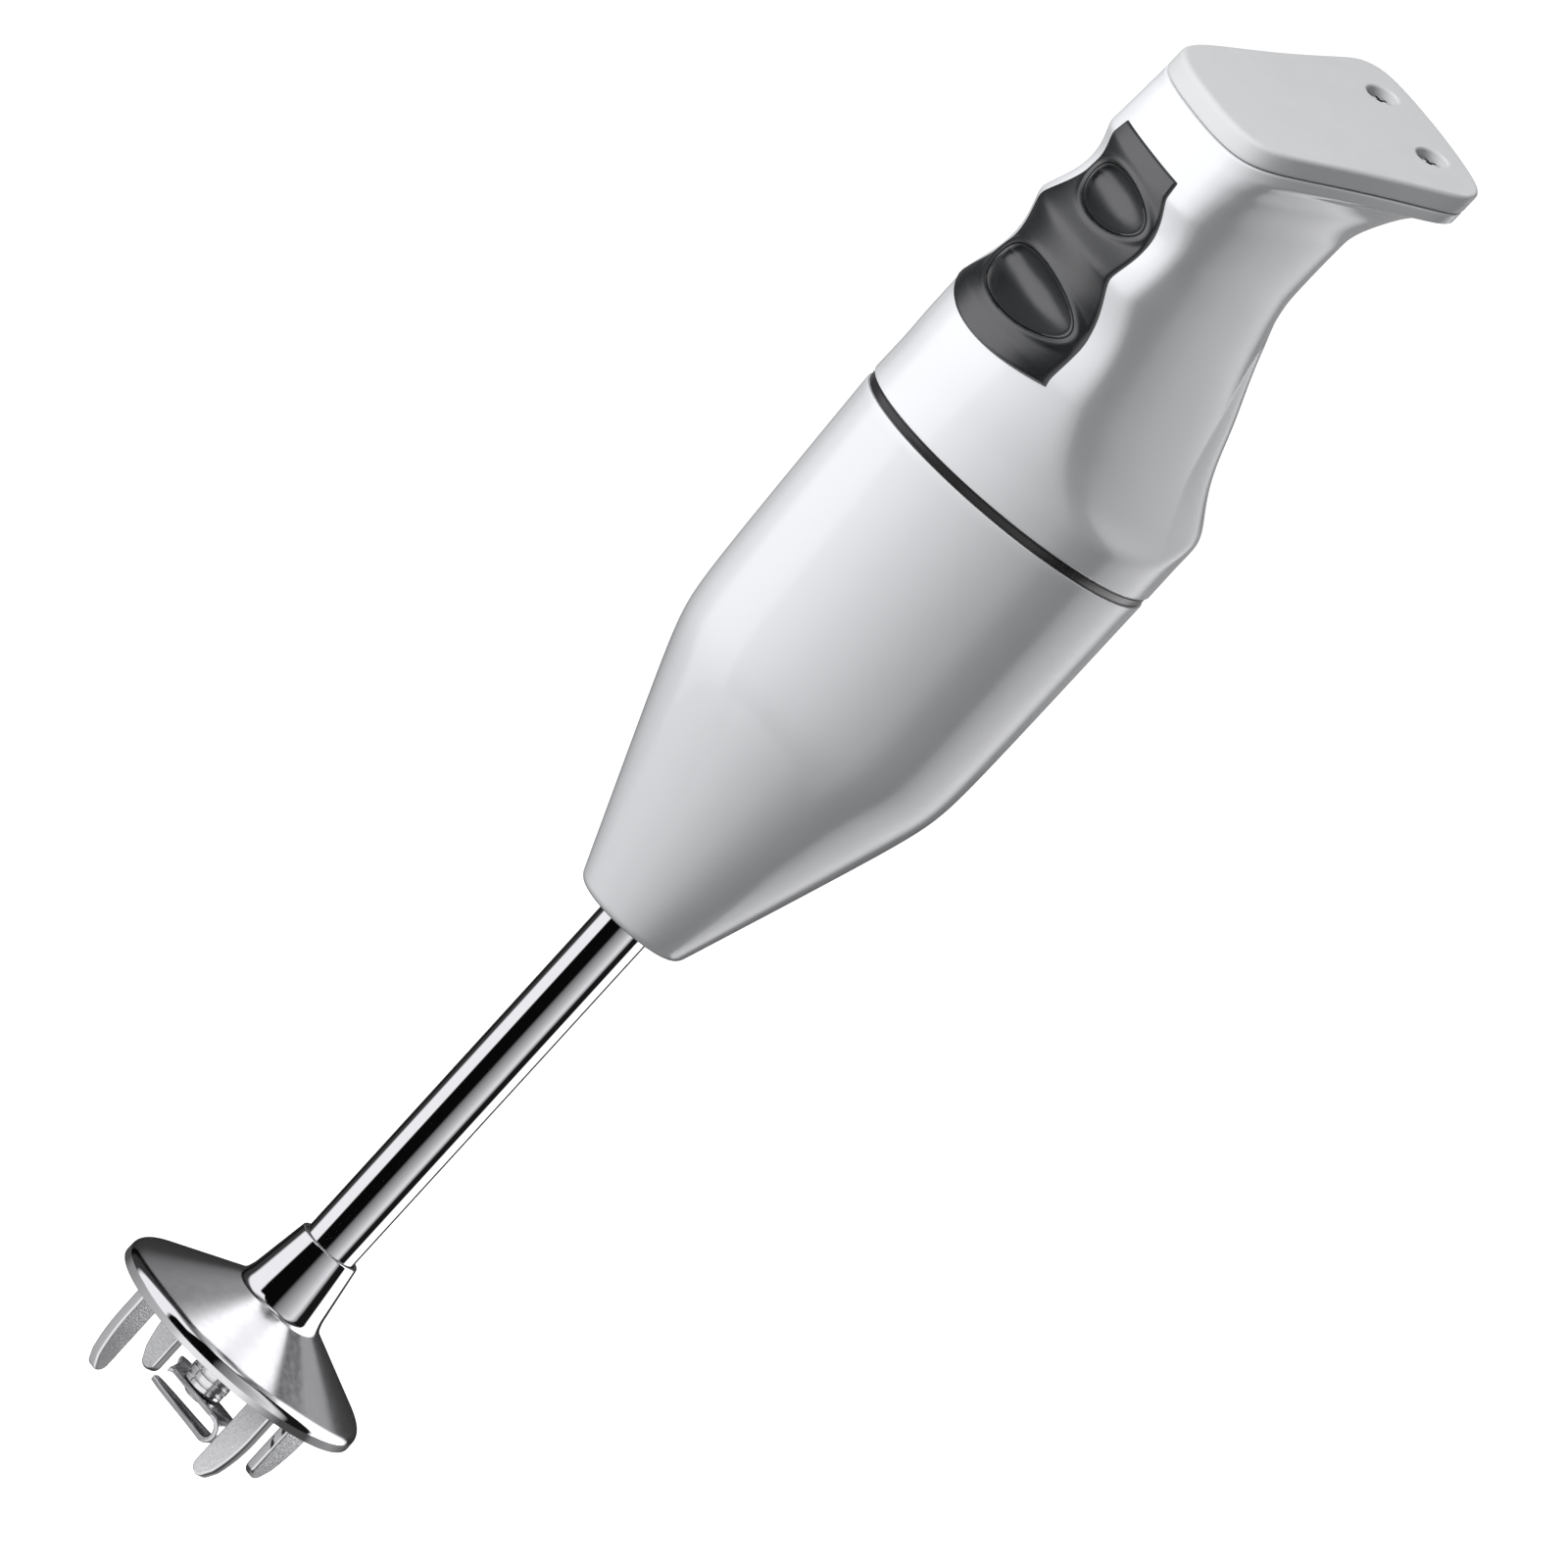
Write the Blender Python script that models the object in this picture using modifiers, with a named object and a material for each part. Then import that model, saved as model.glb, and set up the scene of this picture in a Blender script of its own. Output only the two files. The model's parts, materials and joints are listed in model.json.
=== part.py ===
"""Immersion blender: a white two-part motor housing, a chromed shaft tube and a four-pronged bell guard.

The shaft runs along +Z with the prong tips at z = 0. The finger grip and its two buttons face -Y, and the
beak of the hand grip reaches back to +Y. Every piece hangs from the empty shaft_axis, which stands on the
shaft's centre line, so the sizes and places below are measured from that line.
"""

import math

import bmesh
import bpy
import numpy as np
from mathutils import Matrix, Vector

# ---------------------------------------------------------------- driving dimensions, in metres
AXIS_Y = 0.003             # shaft centre line from the middle of the outline
GAP = 0.0003               # between pieces that touch
CLEAR = 0.0080             # how far a cutter runs past what it cuts
TURN_STEPS = 24            # facets around a small turned piece
SECTION_POINTS = 36        # points around a housing section

PRONG_COUNT = 4
PRONG_RADIUS = 0.0212
PRONG_FIRST = math.radians(76.5)
PRONG_SKEW = math.radians(23)
PRONG_WIDTH = 0.0063
PRONG_THICK = 0.00235

RIM_RADIUS = 0.0273
RIM_BOTTOM = 0.0181
RIM_LIP = 0.0021
CONE_FOOT = (0.0264, 0.0216)
CONE_TOP = (0.0094, 0.0304)
BELL_WALL = 0.0021
COLLAR_RADIUS = 0.00835
COLLAR_FOOT = 0.0328
COLLAR_TOP_RADIUS = 0.00646
COLLAR_TOP = 0.0445
CEILING = 0.0275           # flat underside around the drive shaft

TUBE_RADIUS = 0.0055
TUBE_WALL = 0.0008
TUBE_BOTTOM = 0.0300
TUBE_TOP = 0.1640

NOSE_Z = 0.1275
NOSE_RADIUS = 0.0116
NOSE_EDGE = 0.0018
CONE_WIDTH = (0.1311, 0.0132, 0.374)      # height, half-width there, slope
BARREL_WIDTH = (0.1932, 0.0315, 0.025)
KNEE_SOFTNESS = 0.0011
BAND_BOTTOM = 0.2338
BAND_TOP = 0.2355
BAND_FLATNESS = 0.095      # how much narrower than round the section is at the band
BAND_SHIFT = -0.003        # the section's centre there, towards the buttons
WALL = 0.0022
TRIM_INSET = 0.0003

BARREL_HALF = 0.0294       # the section at the band, half its width and half its depth
BARREL_DEEP = 0.0353
FRONT_LINE = -0.0300       # the tilted sections are level here
CAP_TILT = 0.35            # rise of the cap towards the beak, per metre
SEAM_Z = 0.3134            # the cap seam at the front line
CAP_HEIGHT = 0.0042
CAP_EDGE = 0.0009
SEAM_GAP = 0.0004
CORNER_POWER = 9           # sharpness of the section's corners at the cap
FRONT_POWER = 36           # the same where the front meets the hollowed sides, lower down
REAR_POWER = 5.5           # and where the hollowed sides meet the rear
SIDE_FRONT = -0.028        # where the hollowed side starts and ends along Y
SIDE_REAR = 0.012
SIDE_CURVE = 2.2

# Grip sections: height at the front line, tilt, front, front squareness, half-width in front and behind,
# rear, rear bow per metre, and the middle of the section.
GRIP_STATIONS = (
    (0.2358, 0.00, -0.0383, 2.00, 0.060, 0.060, 0.0600, 0.0, -0.003),
    (0.2385, 0.00, -0.0382, 2.00, 0.040, 0.039, 0.0400, 0.0, -0.003),
    (0.2425, 0.00, -0.0381, 2.00, 0.0300, 0.0290, 0.0325, 0.0, -0.0035),
    (0.2500, 0.00, -0.0379, 2.05, 0.0256, 0.0230, 0.0270, 0.0, -0.0045),
    (0.2590, 0.00, -0.0374, 2.10, 0.0230, 0.0178, 0.0225, 0.0, -0.006),
    (0.2705, 0.01, -0.0368, 2.15, 0.0203, 0.0138, 0.0190, 0.0, -0.007),
    (0.2810, 0.04, -0.0361, 2.25, 0.0186, 0.0102, 0.0152, 0.0, -0.008),
    (0.2905, 0.12, -0.0352, 2.35, 0.0172, 0.0081, 0.0119, 0.0, -0.009),
    (0.3000, 0.22, -0.0344, 2.45, 0.0171, 0.0086, 0.0116, 0.0, -0.009),
    (0.3060, 0.29, -0.0338, 2.50, 0.0176, 0.0128, 0.0143, 0.0, -0.008),
    (0.3094, 0.33, -0.0334, 2.55, 0.0185, 0.0178, 0.0166, 1.5, -0.007),
    (0.3108, 0.35, -0.0332, 2.60, 0.0190, 0.0234, 0.0175, 3.5, -0.006),
    (0.3180, 0.35, -0.0329, 2.60, 0.0190, 0.0236, 0.0177, 3.5, -0.006),
)
GROOVES = ((0.2905, 0.0090, 0.0034), (0.2705, 0.0104, 0.0036))   # height, half its span, depth

PAD_TOP = 0.3020
PAD_BOTTOM = 0.2588
PAD_SAG = 0.0031           # how far the lower edge hangs in the middle
PAD_HALF_TOP = 0.0102
PAD_HALF_BOTTOM = 0.0180
PAD_PROUD = 0.0005
PAD_THICK = 0.0016

BUTTONS = {                # height, half-width, half-height and depth of the dish's middle
    "upper": (0.2907, 0.0099, 0.0050, -0.0298),
    "lower": (0.2682, 0.0137, 0.0056, -0.0293),
}
BUTTON_TRAVEL = 0.0012
BUTTON_BACK = -0.0248
SWITCH_DEPTH = 0.0070

HOLE_X = 0.0101
HOLE_Y = 0.0102
HOLE_RADIUS = 0.0031

GLAND_Z = 0.3195
GLAND_START = 0.0090
GLAND_END = 0.0190
GLAND_RADIUS = 0.0042
GLAND_BORE = 0.0032

CLAMP_BOTTOM = 0.1330
CLAMP_TOP = 0.1440
CLAMP_WALL = 0.0037
BUSH_LENGTH = 0.0100
SEAL_THICK = 0.0020

SCREW_SEAT = -0.0028       # depths below the cap's top plane
SCREW_WAY_END = -0.0080
SCREW_HEAD = (-0.0014, -0.0025)
SCREW_END = -0.0088
SCREW_SHANK = 0.0015
SCREW_WAY = 0.0018
POST_RADIUS = 0.0032
POST = (-0.0102, -0.0048)

BOARD = (0.2590, 0.3000, 0.0070, 0.0016)          # bottom, top, half-width and thickness
CAPACITOR = (0.2700, 0.2850, 0.0045, 0.0070)      # bottom, top, half-width and depth
TERMINALS = (0.2900, 0.2980, 0.0060, 0.0065)
TERMINAL_BORE = (0.0012, 0.0029)                  # radius and place along X

MOTOR_BOTTOM = 0.1775
STATOR_BOTTOM = 0.1955
STATOR_TOP = 0.2185
STATOR_HALF_X = 0.0185
STATOR_HALF_Y = 0.0240
STATOR_BORE = 0.0150
STATOR_CORNER = 0.0070
COIL_X = (0.0095, 0.0140)                         # a coil's window and outside, half their widths
COIL_Y = (0.0166, 0.0205)
COIL_OVERHANG = 0.0045                            # beyond the stator at both ends
COIL_WINDOW = ((0.0092, 0.0143), (0.0163, 0.0208))
ROTOR_RADIUS = 0.0144
ROTOR_SLOTS = 11
ROTOR_SLOT_DEPTH = 0.0040
ROTOR_TOOTH = (12.5, 14.0, 18.7)                  # degrees from a tooth's middle to its edge and over the slot
WINDING_RADIUS = 0.0128
WINDING_HEIGHT = 0.0027
ROTOR_SHAFT_RADIUS = 0.0025
ROTOR_SHAFT = (0.1700, 0.2440)
COMMUTATOR_RADIUS = 0.0090
COMMUTATOR_BOTTOM = 0.2215
COMMUTATOR_TOP = 0.2325
BEARING_RADIUS = 0.0080
BEARING_HEIGHT = 0.0050
UPPER_BEARING_RADIUS = 0.0070
UPPER_BEARING = (0.2370, 0.2415)
LOWER_PLATE = (0.0235, 0.0100, 0.1806, 0.1826)    # radius, radius of its neck, bottom and top
UPPER_PLATE = (0.0250, 0.0090, 0.2380, 0.2400, 0.2420)
PLATE_WINDOW = (0.0080, 0.0045, 0.0170)           # half-width, half-depth and place along Y
BRUSH_HOLDER = (0.0110, 0.0230, 0.0040, 0.2230, 0.2315)   # start and end along X, half-width, bottom and top
BRUSH_WAY = (0.0100, 0.0215, 0.0028, 0.2245, 0.2300)
BRUSH = (0.0190, 0.0025, 0.2248, 0.2297)          # end along X, half-width, bottom and top
FAN_BOTTOM = 0.1840
FAN_HEIGHT = 0.0070
FAN_HUB = 0.0060
FAN_RADIUS = 0.0215
FAN_DISC = (0.0054, 0.0066)                       # heights on the hub
FAN_BLADES = 7
VANE_MIDDLE = 0.0130
VANE_HALF = 0.0005
VANE_TURN = 0.45
DRIVE_RADIUS = 0.0025
SPINDLE_BOTTOM = 0.0120
DRIVE_TOP = 0.1695
COUPLING = (0.0065, 0.1662, 0.1765)               # radius, bottom and top
COUPLING_SLOT = (0.0010, 0.1690)                  # half-width and top
PIN_Z = 0.0235
PIN_RADIUS = 0.0007
PIN_HALF = 0.0039

HUB_RADIUS = 0.0043
HUB_BOTTOM = 0.0085
HUB_TOP = 0.0262
HUB_SLOT = (0.0011, 0.0223)                       # half-width and bottom
RIVET_RADIUS = 0.0015
RIVET_HEAD = (0.0026, 0.0010)
RIVET_DEPTH = 0.0014
BLADE_THICK = 0.0011
BLADE_UPPER_Z = 0.0076
BLADE_LOWER_Z = 0.0029
BLADE_BEND_X = 0.0098
BLADE_TURN = math.radians(15.5)
BLADE_PITCH = 0.20         # twist of the lower arm
BLADE_BEND_HALF = (0.0040, 0.0020)        # half-width where the bend starts and ends
BLADE_WING = (             # the upper arm: x, near edge, far edge and twist
    (-0.0092, 0.0026, 0.0036, 0.20),
    (-0.0078, 0.0009, 0.0041, 0.20),
    (-0.0064, -0.0020, 0.0043, 0.18),
    (-0.0056, -0.0041, 0.0043, 0.12),
    (-0.0046, -0.0038, 0.0043, 0.0),
    (0.0050, -0.0040, 0.0042, 0.0),
)
BLADE_TAIL = ((0.0040, 0.0017), (-0.0060, 0.0012), (-0.0088, 0.0008))     # the lower arm: x and half-width

# ---------------------------------------------------------------- colours: rgb, roughness, metallic
LOOKS = {
    "white_gloss": ((0.86, 0.87, 0.89), 0.22, 0.0),
    "cap_grey": ((0.74, 0.75, 0.77), 0.42, 0.0),
    "soft_dark": ((0.045, 0.048, 0.053), 0.55, 0.0),
    "trim_dark": ((0.05, 0.05, 0.052), 0.35, 0.0),
    "polished": ((0.78, 0.79, 0.80), 0.08, 1.0),
    "cast": ((0.62, 0.63, 0.65), 0.32, 1.0),
    "steel": ((0.55, 0.56, 0.58), 0.28, 1.0),
    "laminated": ((0.30, 0.31, 0.33), 0.45, 1.0),
    "copper": ((0.72, 0.36, 0.20), 0.32, 1.0),
    "bronze": ((0.62, 0.45, 0.24), 0.38, 1.0),
    "carbon": ((0.05, 0.05, 0.055), 0.60, 0.0),
    "black_plastic": ((0.035, 0.035, 0.038), 0.45, 0.0),
    "ivory_plastic": ((0.70, 0.66, 0.56), 0.45, 0.0),
    "board_green": ((0.05, 0.22, 0.12), 0.45, 0.0),
    "blue_plastic": ((0.07, 0.20, 0.42), 0.40, 0.0),
    "rubber": ((0.03, 0.03, 0.03), 0.75, 0.0),
}


# ---------------------------------------------------------------- scene helpers
def clear_scene():
    for item in list(bpy.data.objects):
        bpy.data.objects.remove(item, do_unlink=True)


def new_collection(name):
    collection = bpy.data.collections.new(name)
    bpy.context.scene.collection.children.link(collection)
    return collection


def material(name):
    found = bpy.data.materials.get(name)
    if found:
        return found
    colour, roughness, metallic = LOOKS[name]
    made = bpy.data.materials.new(name)
    made.use_nodes = True
    shader = made.node_tree.nodes["Principled BSDF"]
    shader.inputs["Base Color"].default_value = (*colour, 1.0)
    shader.inputs["Roughness"].default_value = roughness
    shader.inputs["Metallic"].default_value = metallic
    made.diffuse_color = (*colour, 1.0)
    return made


def own_material(node, look):
    """Each piece has a material of its own, named after it."""
    made = material(look).copy()
    made.name = node + "_" + look
    return made


def place(mesh, name, look=None, origin=(0, 0, 0), turn=(0, 0, 0), smooth=True):
    """Puts a mesh in the scene as a part, or as a cutter when it has no look."""
    item = bpy.data.objects.new(name, mesh)
    item.parent = shaft_axis
    item.location = origin
    item.rotation_euler = turn
    if look is None:
        cutters.objects.link(item)
        item.hide_render = True
        item.display_type = "WIRE"
    else:
        parts.objects.link(item)
        mesh.materials.append(own_material(name, look))
    if smooth:
        mesh.shade_smooth()
        mesh.set_sharp_from_angle(angle=math.radians(35))
    return item


def mesh_from(build, name):
    """Runs build(bm) on an empty bmesh and returns the mesh, its faces pointing out."""
    bm = bmesh.new()
    build(bm)
    bmesh.ops.recalc_face_normals(bm, faces=bm.faces)
    mesh = bpy.data.meshes.new(name)
    bm.to_mesh(mesh)
    bm.free()
    return mesh


def turned(name, profile, look=None, closed=True, steps=TURN_STEPS, origin=(0, 0, 0), turn=(0, 0, 0)):
    """A turned piece: a profile of (radius, height) points, running down its outer side first."""

    def build(bm):
        points = [bm.verts.new((radius, 0, height)) for radius, height in profile]
        pairs = list(zip(points, points[1:]))
        if closed:
            pairs.append((points[-1], points[0]))
        for pair in pairs:
            bm.edges.new(pair)

    item = place(mesh_from(build, name), name, look, origin, turn, smooth=False)
    screw = item.modifiers.new("Turn", "SCREW")
    screw.steps = steps
    screw.render_steps = steps
    screw.use_merge_vertices = True
    screw.merge_threshold = 0.00001
    return item


def rod(name, radius, bottom, top, look=None, edge=0.0003, **where):
    """A solid round bar with a small chamfer at both ends."""
    profile = [
        (0, top),
        (radius - edge, top),
        (radius, top - edge),
        (radius, bottom + edge),
        (radius - edge, bottom),
        (0, bottom),
    ]
    return turned(name, profile, look, closed=False, **where)


def ring(name, outer, inner, bottom, top, look=None, **where):
    """A round ring."""
    profile = [(outer, top), (outer, bottom), (inner, bottom), (inner, top)]
    return turned(name, profile, look, **where)


def box(name, low, high, look=None, bevel=0.0):
    """A box between two corners."""
    low, high = Vector(low), Vector(high)
    size = high - low

    def build(bm):
        bmesh.ops.create_cube(bm, size=1.0)
        bmesh.ops.scale(bm, vec=size, verts=bm.verts)

    item = place(mesh_from(build, name), name, look, (low + high) / 2, smooth=False)
    if bevel:
        add_bevel(item, bevel)
    return item


def add_bevel(item, width, segments=1, angle=40):
    bevel = item.modifiers.new("Edge", "BEVEL")
    bevel.width = width
    bevel.segments = segments
    bevel.limit_method = "ANGLE"
    bevel.angle_limit = math.radians(angle)


def slab(name, outline, thickness, look=None, matrix=Matrix(), smooth=False):
    """A flat outline of (x, y) points with a thickness along its own z, centred on z = 0."""

    def build(bm):
        face = bm.faces.new([bm.verts.new((x, y, -thickness / 2)) for x, y in outline])
        grown = bmesh.ops.extrude_face_region(bm, geom=[face])
        raised = [v for v in grown["geom"] if isinstance(v, bmesh.types.BMVert)]
        bmesh.ops.translate(bm, vec=(0, 0, thickness), verts=raised)
        bmesh.ops.transform(bm, matrix=matrix, verts=bm.verts)

    return place(mesh_from(build, name), name, look, smooth=smooth)


def combine(item, other, operation):
    step = item.modifiers.new(operation.title(), "BOOLEAN")
    step.operation = operation
    step.solver = "EXACT"
    step.object = other


def cut(item, *others):
    for other in others:
        combine(item, other, "DIFFERENCE")


def join(item, *others):
    for other in others:
        combine(item, other, "UNION")


def tunnel(name, rings, look=None):
    """A closed skin around a list of rings that ends where it starts, like a bent tyre."""

    def build(bm):
        rows = [[bm.verts.new(point) for point in points] for points in rings]
        for row, after in zip(rows, rows[1:] + rows[:1]):
            for i in range(len(row)):
                j = (i + 1) % len(row)
                bm.faces.new((row[i], row[j], after[j], after[i]))

    return place(mesh_from(build, name), name, look)


def loft(name, rings, look=None):
    """A closed skin over a stack of rings, with flat ends."""

    def build(bm):
        rows = [[bm.verts.new(point) for point in points] for points in rings]
        for row, after in zip(rows, rows[1:]):
            for i in range(len(row)):
                j = (i + 1) % len(row)
                bm.faces.new((row[i], row[j], after[j], after[i]))
        bm.faces.new(rows[0])
        bm.faces.new(rows[-1])

    return place(mesh_from(build, name), name, look)


def arc(centre, radius, start, end, count):
    """Points on an arc, angles in degrees."""
    angles = np.radians(np.linspace(start, end, count))
    return [(centre[0] + radius * math.cos(a), centre[1] + radius * math.sin(a)) for a in angles]


# ---------------------------------------------------------------- housing sections
def soft_min(a, b, softness):
    return (a + b - np.sqrt((a - b) ** 2 + 4 * softness**2)) / 2


def smooth_curve(x, xs, ys):
    """A curve through the points that never overshoots them."""
    xs, ys = np.asarray(xs, float), np.asarray(ys, float)
    rise = np.diff(ys) / np.diff(xs)
    slope = np.zeros(len(xs))
    same = rise[:-1] * rise[1:] > 0
    slope[1:-1][same] = 2 * (rise[:-1] * rise[1:])[same] / (rise[:-1] + rise[1:])[same]
    slope[0], slope[-1] = rise[0], rise[-1]
    i = np.clip(np.searchsorted(xs, x) - 1, 0, len(xs) - 2)
    width = xs[i + 1] - xs[i]
    t = np.clip((x - xs[i]) / width, 0, 1)
    blend = (2 * t**3 - 3 * t**2 + 1, 3 * t**2 - 2 * t**3)
    bend = (t**3 - 2 * t**2 + t, t**3 - t**2)
    return blend[0] * ys[i] + blend[1] * ys[i + 1] + width * (bend[0] * slope[i] + bend[1] * slope[i + 1])


def lower_half_width(z):
    """Half the lower housing's width at height z: a straight cone, a soft knee and a near-straight barrel."""
    cone = CONE_WIDTH[1] + CONE_WIDTH[2] * (z - CONE_WIDTH[0])
    barrel = BARREL_WIDTH[1] + BARREL_WIDTH[2] * (z - BARREL_WIDTH[0])
    return soft_min(cone, barrel, KNEE_SOFTNESS)


def lower_ring(z, width, inset=0.0, count=SECTION_POINTS):
    """The section at height z: round at the nose, oval and moved forward at the band."""
    share = (z - NOSE_Z) / (BAND_BOTTOM - NOSE_Z)
    half_x = width * (1 - BAND_FLATNESS * share)
    half_y = math.sqrt(2 * width**2 - half_x**2)
    middle = BAND_SHIFT * share
    angles = np.linspace(0, 2 * math.pi, count, endpoint=False)
    return [
        ((half_x - inset) * math.cos(a), middle + (half_y - inset) * math.sin(a), z) for a in angles
    ]


def groove_depth(level):
    depth = 0.0
    for height, span, deepest in GROOVES:
        off = min(1.0, abs(level - height) / span)
        depth += deepest * (1 - off**2) ** 1.4
    return depth


def grip_sizes(level):
    columns = list(zip(*GRIP_STATIONS))
    return [float(smooth_curve(level, columns[0], column)) for column in columns[1:]]


def grip_measure(x, y, level):
    """Less than one inside the grip, one on its skin and more outside."""
    tilt, front, square, wide_front, wide_rear, rear, bow, middle = grip_sizes(level)
    front += groove_depth(level)
    depth = np.where(y < BAND_SHIFT, BAND_SHIFT - front, BARREL_DEEP)
    barrel = (np.abs(x / BARREL_HALF) ** square + np.abs((y - BAND_SHIFT) / depth) ** square) ** (1 / square)
    along = np.clip((y - SIDE_FRONT) / (SIDE_REAR - SIDE_FRONT), 0.0, 1.0)
    side = np.abs(x) / (wide_front + (wide_rear - wide_front) * along**SIDE_CURVE)
    back = np.maximum(0, y - middle) / (rear - bow * x**2 - middle)
    sharp = REAR_POWER + (CORNER_POWER - REAR_POWER) * tilt / CAP_TILT
    rear_corner = (side**sharp + back**sharp) ** (1 / sharp)
    crisp = FRONT_POWER + (CORNER_POWER - FRONT_POWER) * tilt / CAP_TILT
    return (barrel**crisp + rear_corner**crisp) ** (1 / crisp)


def grip_ring(level, inset=0.0, count=SECTION_POINTS):
    """The grip's section at a level, as a ring of points on the plane that the level's tilt gives."""
    tilt, middle = grip_sizes(level)[0], grip_sizes(level)[-1]
    angles = np.linspace(0, 2 * math.pi, count, endpoint=False)
    across, along = np.cos(angles), np.sin(angles)
    low, high = np.zeros(count), np.full(count, 0.07)
    for _ in range(40):
        half = (low + high) / 2
        inside = grip_measure(half * across, middle + half * along, level) < 1
        low, high = np.where(inside, half, low), np.where(inside, high, half)
    x = (low - inset) * across
    y = middle + (low - inset) * along
    z = level + tilt * (y - FRONT_LINE)
    return list(zip(x.tolist(), y.tolist(), z.tolist()))


def front_skin(x, z):
    """The y of the grip's front skin at a point of the front view."""
    y = -0.033
    for _ in range(4):
        level = z
        for _ in range(6):
            level = z - grip_sizes(level)[0] * (y - FRONT_LINE)
        low, high = -0.045, -0.012
        for _ in range(24):
            half = (low + high) / 2
            if grip_measure(np.float64(x), np.float64(half), level) > 1:
                low = half
            else:
                high = half
        y = low
    return y


def cap_plane(y, height=0.0):
    """The z of the cap's top plane at y, or of a plane this far below it."""
    return SEAM_Z + CAP_HEIGHT - height + CAP_TILT * (y - FRONT_LINE)


# ---------------------------------------------------------------- shaft and bell
def prong_outline():
    """One prong seen flat: straight inner edge, a bowed outer edge and a round tip near the inner edge."""
    half = PRONG_WIDTH / 2
    tip = 0.0019
    inner_top, outer_top = 0.0249, 0.0219
    bow = [(half - 0.0016 * s**2.2, 0.0130 - 0.0102 * s) for s in np.linspace(0, 1, 5)]
    round_end = arc((-half + tip, tip), tip, -35, -180, 8)
    return [(half, outer_top), *bow, *round_end, (-half, inner_top)]


def bell_guard():
    foot, top = CONE_FOOT, CONE_TOP
    lip_top = RIM_BOTTOM + RIM_LIP
    profile = [
        (TUBE_RADIUS + GAP, COLLAR_TOP),
        (COLLAR_TOP_RADIUS - 0.0003, COLLAR_TOP),
        (COLLAR_TOP_RADIUS, COLLAR_TOP - 0.0004),
        (COLLAR_RADIUS, COLLAR_FOOT),
        (COLLAR_RADIUS + 0.0002, COLLAR_FOOT - 0.0010),
        (top[0] - 0.0004, top[1] + 0.0005),
        (top[0] + 0.0008, top[1] - 0.0004),
        foot,
        (RIM_RADIUS - 0.0003, lip_top + 0.0006),
        (RIM_RADIUS, lip_top - 0.0003),
        (RIM_RADIUS, RIM_BOTTOM + 0.0003),
        (RIM_RADIUS - 0.0003, RIM_BOTTOM),
        (RIM_RADIUS - BELL_WALL, RIM_BOTTOM),
        (foot[0] - BELL_WALL, foot[1] - BELL_WALL + 0.0003),
        (top[0] - 0.0006, CEILING),
        (TUBE_RADIUS + GAP, CEILING),
    ]
    guard = turned("bell_guard", profile, "polished", steps=40)
    for i in range(PRONG_COUNT):
        around = PRONG_FIRST + i * 2 * math.pi / PRONG_COUNT
        spin = Matrix.Rotation(around + PRONG_SKEW, 4, "Z")
        out = Vector((math.cos(around), math.sin(around), 0)) * PRONG_RADIUS
        stand = Matrix.Translation(out) @ spin @ Matrix.Rotation(math.pi / 2, 4, "X")
        join(guard, slab(f"prong_{i + 1}", prong_outline(), PRONG_THICK, matrix=stand))
    return guard


def shaft_tube():
    return ring("shaft_tube", TUBE_RADIUS, TUBE_RADIUS - TUBE_WALL, TUBE_BOTTOM, TUBE_TOP, "polished")


def tube_collar():
    """The clamp ring that holds the tube's upper end inside the nose."""
    bore = TUBE_RADIUS + GAP
    return ring("tube_collar", bore + CLAMP_WALL, bore, CLAMP_BOTTOM, CLAMP_TOP, "steel")


def shaft_bushes():
    inner = TUBE_RADIUS - TUBE_WALL - GAP
    bore = DRIVE_RADIUS + GAP
    low, high = TUBE_BOTTOM + GAP, TUBE_TOP - GAP
    ring("shaft_bush_lower", inner, bore, low, low + BUSH_LENGTH, "bronze")
    ring("shaft_bush_upper", inner, bore, high - BUSH_LENGTH, high, "bronze")
    seal_top = TUBE_BOTTOM - GAP
    ring("shaft_seal", TUBE_RADIUS, bore, seal_top - SEAL_THICK, seal_top, "rubber")


# ---------------------------------------------------------------- lower housing and band
def lower_housing():
    hole = TUBE_RADIUS + GAP
    bottom = CONE_WIDTH[0]
    edge = [(NOSE_RADIUS - 0.0015, NOSE_Z), (NOSE_RADIUS - 0.0003, NOSE_Z + 0.0004)]
    edge += [(NOSE_RADIUS + 0.0005, NOSE_Z + 0.0015)]
    heights = [bottom, 0.1450, 0.1590, 0.1670, 0.1720, 0.1765, 0.1810, 0.1860, 0.1930, 0.2140, BAND_BOTTOM]
    outside = [lower_ring(NOSE_Z, hole)]
    outside += [lower_ring(z, radius) for radius, z in edge]
    outside += [lower_ring(z, float(lower_half_width(z))) for z in heights]
    inside = [lower_ring(z, float(lower_half_width(z)), WALL) for z in reversed(heights)]
    inside.append(lower_ring(NOSE_Z + 0.0025, hole))
    return tunnel("lower_housing", outside + inside, "white_gloss")


def trim_ring():
    width = float(lower_half_width(BAND_BOTTOM)) - TRIM_INSET
    low, high = BAND_BOTTOM + GAP / 2, BAND_TOP + GAP / 2
    rings = []
    for height, inset in ((low, 0), (high, 0), (high, WALL), (low, WALL)):
        rings.append([(x, y, height) for x, y, _ in lower_ring(BAND_BOTTOM, width, inset)])
    return tunnel("trim_ring", rings, "trim_dark")


# ---------------------------------------------------------------- upper housing, cap and pad
def grip_levels():
    """Levels of the grip's rings, closer together over the finger grooves and under the flange."""
    low = [0.2358, 0.2392, 0.2430, 0.2480, 0.2535, 0.2585]
    fingers = list(np.arange(0.2622, 0.3000, 0.0036))
    high = [0.3020, 0.3050, 0.3076, 0.3094, 0.3106, SEAM_Z - SEAM_GAP]
    return low + fingers + high


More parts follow.
